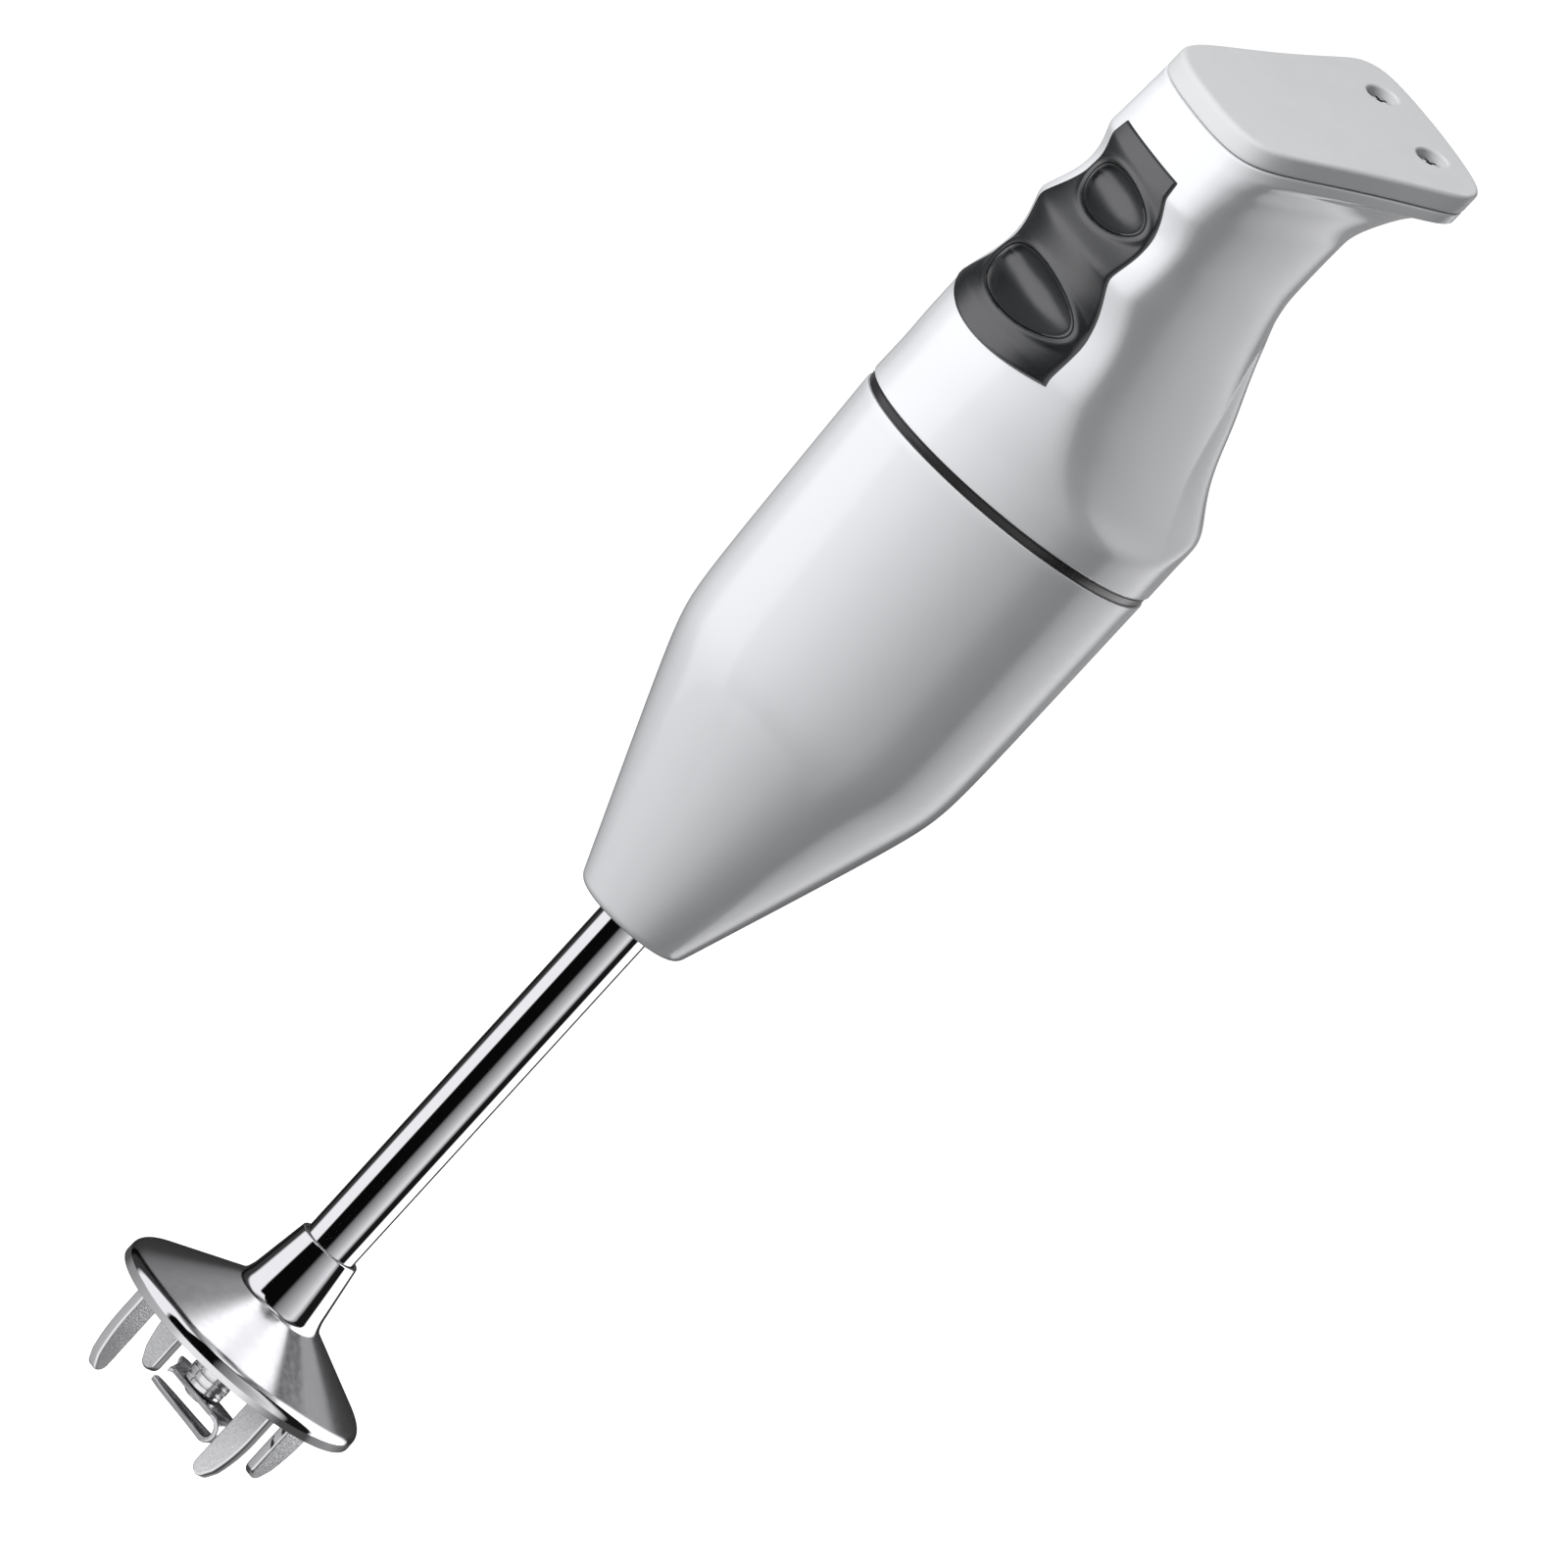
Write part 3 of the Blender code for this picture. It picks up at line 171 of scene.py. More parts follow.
BLADE_TAIL = ((4.0 * MM, 1.7 * MM), (-6.0 * MM, 1.2 * MM), (-8.8 * MM, 0.8 * MM))

# ---------------------------------------------------------------- relief of the materials
BUMP_UNIT = 1.0 * MM
PATTERN_RELIEF = 0.05 * MM
EVEN = (1, 1, 1)

# ---------------------------------------------------------------- camera and studio
MIDDLE = Vector((0, AXIS_Y, 0.18))
VIEW_TURN = math.radians(45)
CAMERA_LIFT = 11.5
CAMERA_ROLL = 42.4
CAMERA_DISTANCE = 4.5
CAMERA_LENS = 566.8
CAMERA_HEIGHT = 0.1655
CAMERA_ASIDE = 4.2 * MM
FLOOR_Z = -20 * MM
FLOOR_RADIUS = 20.0
FLOOR_GLOW = 0.85
TENT_RADIUS = 0.24
TENT_TOP = 0.70
WORLD_LIGHT = 0.25
# The cards' places: degrees around the object on the wall and mat, metres up the wall or across the ceiling.
WALL_CARDS = (
    (-180, 0.003), (-136, 0.003), (-130, 0.04), (-112, 0.05), (-103, 1.0), (-58, 1.0), (-54, 0.003),
    (-6, 0.003), (2, 0.20), (30, 0.50), (52, 0.85), (60, 0.45), (66, 0.01), (89, 0.01), (93, 1.4),
    (104, 2.2), (132, 2.2), (139, 1.0), (144, 0.02), (180, 0.02),
)
HIGH_CARDS = tuple(
    (degrees + 16 if -60 < degrees < -50 else degrees, level) for degrees, level in WALL_CARDS
)
HIGH_FROM = (0.17 / TENT_TOP, 0.20 / TENT_TOP)
MAT_CARDS = (
    (-180, 0.05), (-136, 0.10), (-122, 0.28), (-84, 0.45), (-60, 0.52), (-44, 0.62), (-32, 0.95), (22, 0.95),
    (45, 0.42), (62, 0.08), (90, 0.08), (96, 0.25), (120, 0.32), (150, 0.10), (180, 0.05),
)
WALL_START = 0.5 + 45 / 360
SOFTBOX_FADE = ((0.0, 1.0), (0.40, 1.0), (0.52, 0.25), (0.70, 0.15))
BACK_FROM = 144 / 360
BACK_LEFT = (
    (0.0, 0.03), (0.10, 0.05), (0.15, 0.18), (0.24, 0.30), (0.32, 0.40), (0.40, 0.52), (0.46, 0.75),
    (0.54, 1.4), (0.70, 1.4),
)
BACK_RIGHT = (
    (0.0, 0.03), (0.10, 0.06), (0.14, 0.10), (0.17, 0.36), (0.27, 0.36), (0.30, 0.06), (0.445, 0.06),
    (0.465, 1.4), (0.70, 1.4),
)
CEILING_CARDS = (
    (-0.24, 0.05), (-0.20, 0.20), (-0.14, 0.40), (-0.09, 0.55), (-0.07, 1.0), (0.10, 1.0), (0.12, 0.15),
    (0.17, 0.10), (0.20, 0.35), (0.225, 0.30), (0.24, 0.05),
)
# Name, turn from the camera and lift in degrees, distance, size and power.
LAMPS = (
    ("key", -50, 25, 0.9, (0.5, 0.8), 8.6),
    ("rim", 140, 40, 1.0, (0.4, 0.9), 0.6),
)


def soft_min(a, b, softness):
    return (a + b - np.sqrt((a - b) ** 2 + 4 * softness**2)) / 2


def smooth_curve(x, xs, ys):
    """A curve through the points that never overshoots them."""
    xs, ys = np.asarray(xs, float), np.asarray(ys, float)
    rise = np.diff(ys) / np.diff(xs)
    slope = np.zeros(len(xs))
    same = rise[:-1] * rise[1:] > 0
    slope[1:-1][same] = 2 * (rise[:-1] * rise[1:])[same] / (rise[:-1] + rise[1:])[same]
    slope[0], slope[-1] = rise[0], rise[-1]
    i = np.clip(np.searchsorted(xs, x) - 1, 0, len(xs) - 2)
    width = xs[i + 1] - xs[i]
    t = np.clip((x - xs[i]) / width, 0, 1)
    blend = (2 * t**3 - 3 * t**2 + 1, 3 * t**2 - 2 * t**3)
    bend = (t**3 - 2 * t**2 + t, t**3 - t**2)
    return blend[0] * ys[i] + blend[1] * ys[i + 1] + width * (bend[0] * slope[i] + bend[1] * slope[i + 1])


def lower_half_width(z):
    cone = CONE_WIDTH[1] + CONE_WIDTH[2] * (z - CONE_WIDTH[0])
    barrel = BARREL_WIDTH[1] + BARREL_WIDTH[2] * (z - BARREL_WIDTH[0])
    return float(soft_min(cone, barrel, KNEE_SOFTNESS))


def lower_ring(z, width, inset=0.0, level=None):
    """The lower housing's section for height z: round at the nose, oval and moved forward at the band."""
    share = (z - NOSE_Z) / (BAND_BOTTOM - NOSE_Z)
    half_x = width * (1 - BAND_FLATNESS * share)
    half_y = math.sqrt(2 * width**2 - half_x**2)
    middle = AXIS_Y + BAND_SHIFT * share
    angles = np.linspace(0, 2 * math.pi, SECTION_POINTS, endpoint=False)
    height = z if level is None else level
    return [
        ((half_x - inset) * math.cos(a), middle + (half_y - inset) * math.sin(a), height) for a in angles
    ]


def grip_sizes(level):
    """Tilt, front, squareness, the two widths, rear, bow and middle of the grip at a level."""
    columns = list(zip(*GRIP_STATIONS))
    return [smooth_curve(level, columns[0], column) for column in columns[1:]]


def groove_depth(level):
    depth = 0.0
    for height, span, deepest in GROOVES:
        off = np.minimum(1.0, np.abs(level - height) / span)
        depth = depth + deepest * (1 - off**2) ** 1.4
    return depth


def grip_measure(x, y, level, sizes):
    """Less than one inside the grip, one on its skin and more outside, from the shaft's centre line."""
    tilt, front, square, wide_front, wide_rear, rear, bow, middle = sizes
    depth = np.where(y < BAND_SHIFT, BAND_SHIFT - front - groove_depth(level), BARREL_DEEP)
    barrel = (np.abs(x / BARREL_HALF) ** square + np.abs((y - BAND_SHIFT) / depth) ** square) ** (1 / square)
    along = np.clip((y - SIDE_FRONT) / (SIDE_REAR - SIDE_FRONT), 0.0, 1.0)
    side = np.abs(x) / (wide_front + (wide_rear - wide_front) * along**SIDE_CURVE)
    back = np.maximum(0, y - middle) / (rear - bow * x**2 - middle)
    sharp = REAR_POWER + (CORNER_POWER - REAR_POWER) * tilt / CAP_TILT
    rear_corner = (side**sharp + back**sharp) ** (1 / sharp)
    crisp = FRONT_POWER + (CORNER_POWER - FRONT_POWER) * tilt / CAP_TILT
    return (barrel**crisp + rear_corner**crisp) ** (1 / crisp)


def grip_ring(level, inset=0.0, raised=0.0):
    """The grip's section at a level, on the plane that the level's tilt gives, moved in and up."""
    sizes = grip_sizes(level)
    tilt, middle = sizes[0], sizes[-1]
    angles = np.linspace(0, 2 * math.pi, GRIP_POINTS, endpoint=False)
    across, along = np.cos(angles), np.sin(angles)
    low, high = np.zeros(GRIP_POINTS), np.full(GRIP_POINTS, 0.07)
    for _ in range(26):
        half = (low + high) / 2
        inside = grip_measure(half * across, middle + half * along, level, sizes) < 1
        low, high = np.where(inside, half, low), np.where(inside, high, half)
    x = (low - inset) * across
    y = middle + (low - inset) * along
    z = level + tilt * (y - FRONT_LINE) + raised
    return list(zip(x.tolist(), (y + AXIS_Y).tolist(), z.tolist()))


def front_skin(x, z):
    """The y of the grip's front skin at points of the front view."""
    x, z = np.broadcast_arrays(np.asarray(x, float), np.asarray(z, float))
    low, high = np.full(x.shape, -0.045), np.full(x.shape, -0.012)
    for _ in range(24):
        y = (low + high) / 2
        level = z
        for _ in range(5):
            level = z - grip_sizes(level)[0] * (y - FRONT_LINE)
        outside = grip_measure(x, y, level, grip_sizes(level)) > 1
        low, high = np.where(outside, y, low), np.where(outside, high, y)
    return low + AXIS_Y


def cap_plane(y, below=0.0):
    """The height of the cap's top plane at y from the shaft's centre line, or of a plane below it."""
    return SEAM_Z + CAP_HEIGHT - below + CAP_TILT * (y - FRONT_LINE)


# ---------------------------------------------------------------- node helpers
def add(tree, kind, settings=None, **inputs):
    """A shader node, its inputs given by name, each a value or another node's output."""
    node = tree.nodes.new(kind)
    for key, value in (settings or {}).items():
        setattr(node, key, value)
    for key, value in inputs.items():
        socket = node.inputs[key.replace("_", " ")]
        if isinstance(value, bpy.types.NodeSocket):
            tree.links.new(value, socket)
        else:
            socket.default_value = value
    return node


def places(tree, stretch=(1, 1, 1)):
    """The point on the piece in metres, stretched along x, y and z."""
    point = add(tree, "ShaderNodeTexCoord").outputs["Object"]
    return add(tree, "ShaderNodeMapping", Vector=point, Scale=stretch).outputs["Vector"]


def noise(tree, scale, detail=2.0, stretch=(1, 1, 1)):
    return add(
        tree, "ShaderNodeTexNoise", Vector=places(tree, stretch), Scale=scale, Detail=detail
    ).outputs["Fac"]


def lines(tree, scale, axis, distortion=0.0):
    """Soft parallel bands across an axis."""
    settings = {"wave_type": "BANDS", "bands_direction": axis, "wave_profile": "SIN"}
    return add(
        tree, "ShaderNodeTexWave", settings, Vector=places(tree), Scale=scale, Distortion=distortion,
        Detail=1.0, Detail_Scale=2.0,
    ).outputs["Fac"]


def spread(tree, factor, low, high, start=0.3, end=0.7):
    """Factor from start to end mapped to low to high."""
    limits = {"From_Min": start, "From_Max": end, "To_Min": low, "To_Max": high}
    return add(tree, "ShaderNodeMapRange", Value=factor, **limits).outputs["Result"]


def maths(tree, operation, one, two):
    node = tree.nodes.new("ShaderNodeMath")
    node.operation = operation
    for socket, value in zip(node.inputs, (one, two)):
        if isinstance(value, bpy.types.NodeSocket):
            tree.links.new(value, socket)
        else:
            socket.default_value = value
    return node.outputs["Value"]


def ramp(tree, factor, stops, smooth=False):
    """Colours along a factor. Stops are (place, colour)."""
    node = add(tree, "ShaderNodeValToRGB", Fac=factor)
    band = node.color_ramp
    band.interpolation = "EASE" if smooth else "LINEAR"
    while len(band.elements) < len(stops):
        band.elements.new(0.5)
    for element, (place, colour) in zip(band.elements, stops):
        element.position = place
        element.color = (*colour, 1.0)
    return node.outputs["Color"]


def shade(colour, share):
    return tuple(min(1.0, channel * share) for channel in colour)


def surface(name, colour, rough, metallic=0.0, mottle=(120, 0.04), grain=(), pattern=None, **constants):
    """A material whose colour, roughness and relief vary over the surface.

    Rough is the lowest and highest roughness, mottle the scale and depth of the colour's variation, and
    grain holds (scale, detail, stretch, height) reliefs. Pattern(tree) gives a factor and its dark colour.
    """
    made = bpy.data.materials.new(name)
    made.use_nodes = True
    tree = made.node_tree
    shader = tree.nodes["Principled BSDF"]
    shader.inputs["Metallic"].default_value = metallic
    for key, value in constants.items():
        shader.inputs[key.replace("_", " ")].default_value = value
    scale, depth = mottle
    cloud = noise(tree, scale, 4.0)
    stops = [(0.3, shade(colour, 1 - depth)), (0.7, shade(colour, 1 + depth))]
    if pattern:
        factor, darker = pattern(tree)
        main, rest = maths(tree, "MULTIPLY", factor, 0.8), maths(tree, "MULTIPLY", cloud, 0.2)
        cloud = maths(tree, "ADD", main, rest)
        stops = [(0.12, darker), (0.62, shade(colour, 1 - depth)), (0.9, shade(colour, 1 + depth))]
    tree.links.new(ramp(tree, cloud, stops), shader.inputs["Base Color"])
    wear = noise(tree, scale * 3.1, 3.0)
    tree.links.new(spread(tree, wear, *rough), shader.inputs["Roughness"])
    heights = [(noise(tree, size, detail, stretch), height) for size, detail, stretch, height in grain]
    if pattern:
        heights.append((factor, PATTERN_RELIEF))
    relief = None
    for value, height in heights:
        raised = maths(tree, "MULTIPLY", value, height / BUMP_UNIT)
        relief = raised if relief is None else maths(tree, "ADD", relief, raised)
    if relief is not None:
        bump = add(tree, "ShaderNodeBump", Height=relief, Distance=BUMP_UNIT, Strength=1.0)
        tree.links.new(bump.outputs["Normal"], shader.inputs["Normal"])
    return made


def laminations(tree):
    return lines(tree, 620, "Z"), (0.10, 0.10, 0.11)


def wires_along_z(tree):
    return lines(tree, 720, "X", 0.6), (0.25, 0.09, 0.04)


def wires_around(tree):
    return lines(tree, 640, "Y", 1.4), (0.25, 0.09, 0.04)


def segments(tree):
    """Copper bars around the shaft, with dark gaps between them."""
    point = add(tree, "ShaderNodeSeparateXYZ", Vector=places(tree))
    from_axis = maths(tree, "SUBTRACT", point.outputs["Y"], AXIS_Y)
    turn = maths(tree, "ARCTAN2", from_axis, point.outputs["X"])
    wave = maths(tree, "ABSOLUTE", maths(tree, "SINE", maths(tree, "MULTIPLY", turn, 11.0), 0.0), 0.0)
    return maths(tree, "POWER", wave, 0.3), (0.03, 0.025, 0.02)


def board_traces(tree):
    cells = add(
        tree, "ShaderNodeTexVoronoi", {"distance": "CHEBYCHEV"}, Vector=places(tree), Scale=330.0,
        Randomness=0.6,
    )
    return spread(tree, cells.outputs["Distance"], 0.0, 1.0, 0.25, 0.4), (0.02, 0.10, 0.05)


LOOKS = {
    "white_gloss": surface(
        "white_gloss", (0.80, 0.815, 0.84), (0.16, 0.22), mottle=(60, 0.006), IOR=1.52, Coat_Weight=0.35,
        Coat_Roughness=0.06, grain=((520, 2.0, EVEN, 0.0012 * MM), (4200, 2.0, EVEN, 0.0003 * MM)),
    ),
    "cap_grey": surface(
        "cap_grey", (0.64, 0.65, 0.66), (0.40, 0.50), mottle=(90, 0.012), IOR=1.5,
        grain=((5200, 3.0, EVEN, 0.006 * MM), (900, 2.0, EVEN, 0.002 * MM)),
    ),
    "soft_dark": surface(
        "soft_dark", (0.007, 0.008, 0.009), (0.30, 0.38), mottle=(700, 0.10), IOR=2.3,
        grain=((6500, 3.0, EVEN, 0.012 * MM), (2300, 2.0, EVEN, 0.006 * MM)),
    ),
    "trim_dark": surface(
        "trim_dark", (0.030, 0.028, 0.030), (0.22, 0.32), mottle=(300, 0.08), IOR=1.5,
        grain=((2400, 2.0, (1, 1, 0.1), 0.002 * MM),),
    ),
    "polished": surface(
        "polished", (0.83, 0.83, 0.845), (0.02, 0.045), 1.0, mottle=(240, 0.012),
        grain=((900, 2.0, (1, 1, 0.04), 0.0004 * MM),),
    ),
    "bell_satin": surface(
        "bell_satin", (0.82, 0.82, 0.84), (0.12, 0.16), 1.0, mottle=(260, 0.02),
        grain=((1500, 3.0, (1, 1, 1.5), 0.0012 * MM),),
    ),
    "prong_cast": surface(
        "prong_cast", (0.86, 0.86, 0.88), (0.26, 0.42), 0.6, mottle=(2600, 0.14),
        grain=((2200, 3.0, EVEN, 0.085 * MM), (1300, 2.0, EVEN, 0.04 * MM)),
    ),
    "cast": surface(
        "cast", (0.55, 0.56, 0.58), (0.32, 0.48), 1.0, mottle=(800, 0.08),
        grain=((2200, 3.0, EVEN, 0.03 * MM),),
    ),
    "steel": surface(
        "steel", (0.62, 0.63, 0.65), (0.20, 0.32), 1.0, mottle=(500, 0.05),
        grain=((1500, 3.0, (0.12, 1, 1), 0.004 * MM),),
    ),
    "blade_steel": surface(
        "blade_steel", (0.66, 0.66, 0.68), (0.16, 0.26), 1.0, mottle=(700, 0.06),
        grain=((2600, 3.0, (0.10, 1, 1), 0.004 * MM),),
    ),
    "laminated": surface(
        "laminated", (0.36, 0.37, 0.39), (0.35, 0.5), 1.0, mottle=(400, 0.08), pattern=laminations
    ),
    "copper": surface(
        "copper", (0.72, 0.34, 0.18), (0.25, 0.38), 1.0, mottle=(500, 0.08), pattern=wires_around
    ),
    "coil": surface("coil", (0.72, 0.34, 0.18), (0.25, 0.38), 1.0, mottle=(500, 0.08), pattern=wires_along_z),
    "commutator": surface(
        "commutator", (0.78, 0.42, 0.24), (0.2, 0.34), 1.0, mottle=(500, 0.08), pattern=segments
    ),
    "bronze": surface(
        "bronze", (0.58, 0.42, 0.22), (0.32, 0.46), 1.0, mottle=(900, 0.12),
        grain=((2600, 3.0, EVEN, 0.02 * MM),),
    ),
    "carbon": surface(
        "carbon", (0.04, 0.04, 0.045), (0.5, 0.7), mottle=(1500, 0.2),
        grain=((3000, 3.0, EVEN, 0.03 * MM),),
    ),
    "black_plastic": surface(
        "black_plastic", (0.03, 0.03, 0.033), (0.36, 0.5), mottle=(400, 0.1),
        grain=((4200, 3.0, EVEN, 0.01 * MM),),
    ),
    "ivory_plastic": surface(
        "ivory_plastic", (0.66, 0.61, 0.50), (0.38, 0.5), mottle=(300, 0.04),
        grain=((3600, 3.0, EVEN, 0.01 * MM),),
    ),
    "board_green": surface(
        "board_green", (0.06, 0.26, 0.13), (0.28, 0.42), mottle=(600, 0.08), pattern=board_traces
    ),
    "blue_plastic": surface(
        "blue_plastic", (0.06, 0.18, 0.38), (0.25, 0.38), mottle=(350, 0.06),
        grain=((2800, 2.0, EVEN, 0.008 * MM),),
    ),
    "rubber": surface(
        "rubber", (0.025, 0.025, 0.025), (0.62, 0.78), mottle=(900, 0.15),
        grain=((3600, 3.0, EVEN, 0.02 * MM),),
    ),
}
NODE_LOOKS = {"field_coil_front": "coil", "field_coil_rear": "coil", "commutator": "commutator"}


# ---------------------------------------------------------------- mesh helpers
def wrap(rings, closed=False):
    """Points and faces of a skin around a stack of rings, closed like a tyre or with flat ends."""
    count = len(rings[0])
    points = [tuple(point) for row in rings for point in row]
    faces = []
    for row in range(len(rings) if closed else len(rings) - 1):
        one, two = row * count, (row + 1) % len(rings) * count
        for i in range(count):
            j = (i + 1) % count
            faces.append((one + i, one + j, two + j, two + i))
    if not closed:
        faces.append(tuple(range(count)))
        faces.append(tuple(range((len(rings) - 1) * count, len(rings) * count)))
    return points, faces


def mesh_of(name, points, faces, matrix=None):
    mesh = bpy.data.meshes.new(name)
    mesh.from_pydata(points, [], faces)
    bm = bmesh.new()
    bm.from_mesh(mesh)
    bmesh.ops.recalc_face_normals(bm, faces=bm.faces)
    if matrix:
        bmesh.ops.transform(bm, matrix=matrix, verts=bm.verts)
    bm.to_mesh(mesh)
    bm.free()
    return mesh


def smooth(item, angle=32):
    item.data.shade_smooth()
    item.data.set_sharp_from_angle(angle=math.radians(angle))


def piece(name, shape, look, matrix=None):
    item = bpy.data.objects.new(name, mesh_of(name, *shape, matrix))
    bpy.context.scene.collection.objects.link(item)
    item.data.materials.append(LOOKS[look])
    smooth(item)
    return item


def settle(item, body, *nodes):
    """The piece rides on a body and stands for these CAD nodes."""
    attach(item, body)
    if nodes:
        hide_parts(*nodes)


def apply_modifiers(item):
    bpy.context.view_layer.update()
    shown = item.evaluated_get(bpy.context.evaluated_depsgraph_get())
    item.data = bpy.data.meshes.new_from_object(shown)
    item.modifiers.clear()


def carve(item, *shapes, angle=32):
    """Takes solids, each a (shape, matrix), out of a piece."""
    for shape, matrix in shapes:
        tool = bpy.data.objects.new("tool", mesh_of("tool", *shape, matrix))
        bpy.context.scene.collection.objects.link(tool)
        step = item.modifiers.new("Cut", "BOOLEAN")
        step.operation = "DIFFERENCE"
        step.solver = "EXACT"
        step.object = tool
        apply_modifiers(item)
        bpy.data.objects.remove(tool, do_unlink=True)
    smooth(item, angle)


def rounded(profile, closed=True, steps=5):
    """A profile of (radius, height, rounding) points with its corners rounded."""
    result = []
    for i, (radius, height, size) in enumerate(profile):
        here = Vector((radius, height))
        if size == 0 or (not closed and i in (0, len(profile) - 1)):
            result.append((radius, height))
            continue
        start, end = (
            here + (other - here).normalized() * min(size, (other - here).length * 0.48)
            for other in (Vector(profile[i - 1][:2]), Vector(profile[(i + 1) % len(profile)][:2]))
        )
        for share in np.linspace(0, 1, steps):
            point = start * (1 - share) ** 2 + here * 2 * share * (1 - share) + end * share**2
            result.append((point.x, point.y))
    return result


def turned(profile, closed=True, steps=96):
    """The skin of a profile of (radius, height) points turned about the z axis."""
    angles = np.linspace(0, 2 * math.pi, steps, endpoint=False)
    return wrap([[(r * math.cos(a), r * math.sin(a), z) for a in angles] for r, z in profile], closed)


def arc(centre, radius, start, end, count):
    angles = np.radians(np.linspace(start, end, count))
    return [(centre[0] + radius * math.cos(a), centre[1] + radius * math.sin(a)) for a in angles]


ON_SHAFT = Matrix.Translation((0, AXIS_Y, 0))


# ---------------------------------------------------------------- housings and trim
def lower_housing():
    low = CONE_WIDTH[0]
    corner = lower_half_width(NOSE_Z)
    above = NOSE_Z + NOSE_ROUNDING
    start, end = (corner - 1.5 * MM, NOSE_Z), (lower_half_width(above), above)
    edge = []
    for t in np.linspace(0, 1, 9):
        radius, height = (a * (1 - t) ** 2 + b * 2 * t * (1 - t) + c * t**2
                          for a, b, c in zip(start, (corner, NOSE_Z), end))
        edge.append((radius, height))
    heights = [
        *np.linspace(NOSE_Z + 2.2 * MM, KNEE_START - 1 * MM, 24), *np.linspace(KNEE_START, KNEE_END, 36),
        *np.linspace(KNEE_END + 1 * MM, BAND_BOTTOM - EDGE, 34),
    ]
    bore = TUBE_RADIUS + 0.35 * MM
    rings = [lower_ring(NOSE_Z, bore + 0.3 * MM, level=NOSE_Z), lower_ring(NOSE_Z, bore + 0.5 * MM)]
    rings += [lower_ring(z, radius) for radius, z in edge]
    rings += [lower_ring(z, lower_half_width(z)) for z in heights]
    for turn in np.linspace(0, math.pi / 2, 5)[1:]:
        z = BAND_BOTTOM - EDGE * (1 - math.sin(turn))
        rings.append(lower_ring(z, lower_half_width(z), EDGE * (1 - math.cos(turn))))
    inner = [BAND_BOTTOM, 193 * MM, 172 * MM, 145 * MM, low]
    rings += [lower_ring(z, lower_half_width(z), WALL) for z in inner]
    rings += [lower_ring(NOSE_Z, bore, level=NOSE_Z + lift) for lift in (NOSE_FLOOR, 0.4 * MM)]
    settle(piece("housing_lower", wrap(rings, True), "white_gloss"), "housing", "lower_housing")


def trim_ring():
    """A dark band with a raised middle between two fine shoulders."""
    width = lower_half_width(BAND_BOTTOM)
    low, high = BAND_BOTTOM + 0.1 * MM, BAND_TOP + 0.2 * MM
    outer, shoulder = TRIM_INSET, TRIM_INSET + TRIM_STEP
    steps = [
        (low, shoulder + 0.1 * MM), (low + 0.05 * MM, shoulder), (low + 0.22 * MM, shoulder),
        (low + 0.34 * MM, outer + 0.03 * MM), (low + 0.46 * MM, outer), (high - 0.46 * MM, outer),
        (high - 0.34 * MM, outer + 0.03 * MM), (high - 0.22 * MM, shoulder), (high - 0.05 * MM, shoulder),
        (high, shoulder + 0.1 * MM), (high, WALL), (low, WALL),
    ]
    rings = [lower_ring(BAND_BOTTOM, width, inset, height) for height, inset in steps]
    settle(piece("trim_band", wrap(rings, True), "trim_dark"), "housing", "trim_ring")


def upper_housing():
    first, last = GRIP_STATIONS[0][0], SEAM_Z - SEAM_GAP
    rings = [grip_ring(first + EDGE * (1 - math.cos(turn)), EDGE * (1 - math.sin(turn)))
             for turn in np.linspace(0, math.pi / 2, 5)]
    levels = [*np.linspace(first + EDGE + 0.4 * MM, 304 * MM, 118), *np.linspace(304.4 * MM, last - EDGE, 26)]
    rings += [grip_ring(level) for level in levels]
    for turn in np.linspace(0, math.pi / 2, 5)[1:]:
        rings.append(grip_ring(last - EDGE * (1 - math.sin(turn)), EDGE * (1 - math.cos(turn))))
    rings += [grip_ring(level, WALL) for level in np.linspace(last, first, 48)]
    housing = piece("housing_upper", wrap(rings, True), "white_gloss")
    tools = [(button_column(which, 0.6 * MM), None) for which in BUTTONS]
    sleeve = GLAND_RADIUS - 0.4 * MM
    tools.append((gland_bar([(sleeve, 8 * MM), (sleeve, 40 * MM)], False), None))
    carve(housing, *tools)
    settle(housing, "housing", "upper_housing")


def cap_place(side):
    """The frame of a screw way in the cap: z out of the top plane."""
    origin = Matrix.Translation((side * HOLE_X, AXIS_Y + HOLE_Y, cap_plane(HOLE_Y)))
    return origin @ Matrix.Rotation(math.atan(CAP_TILT), 4, "X")


def top_cap():
    low, high = SEAM_Z, SEAM_Z + CAP_HEIGHT
    rings = [grip_ring(low, 0.18 * MM), grip_ring(low + 0.06 * MM, 0.05 * MM), grip_ring(low + 0.2 * MM)]
    rings += [grip_ring(level) for level in np.linspace(low + 0.6 * MM, high - CAP_EDGE, 6)]
    for turn in np.linspace(0, math.pi / 2, 9)[1:]:
        rings.append(grip_ring(high - CAP_EDGE * (1 - math.sin(turn)), CAP_EDGE * (1 - math.cos(turn))))
    rings.append(grip_ring(high, CAP_EDGE + 0.15 * MM))
    cap = piece("cap", wrap(rings), "cap_grey")
    outside = HOLE_RADIUS + 2 * MM
    mouth = rounded([(outside, 0, 0), (HOLE_RADIUS, 0, 0.6 * MM), (HOLE_RADIUS, -HOLE_DEEP, 0)], False)
    way = [(outside, 2 * MM), *mouth, (SHANK_WAY, -HOLE_DEEP), (SHANK_WAY, -8 * MM)]
    carve(cap, *[(turned(way, False, 64), cap_place(side)) for side in (-1, 1)])
    cap.modifiers.new("Flat top", "WEIGHTED_NORMAL").keep_sharp = True
    apply_modifiers(cap)
    settle(cap, "housing", "top_cap")


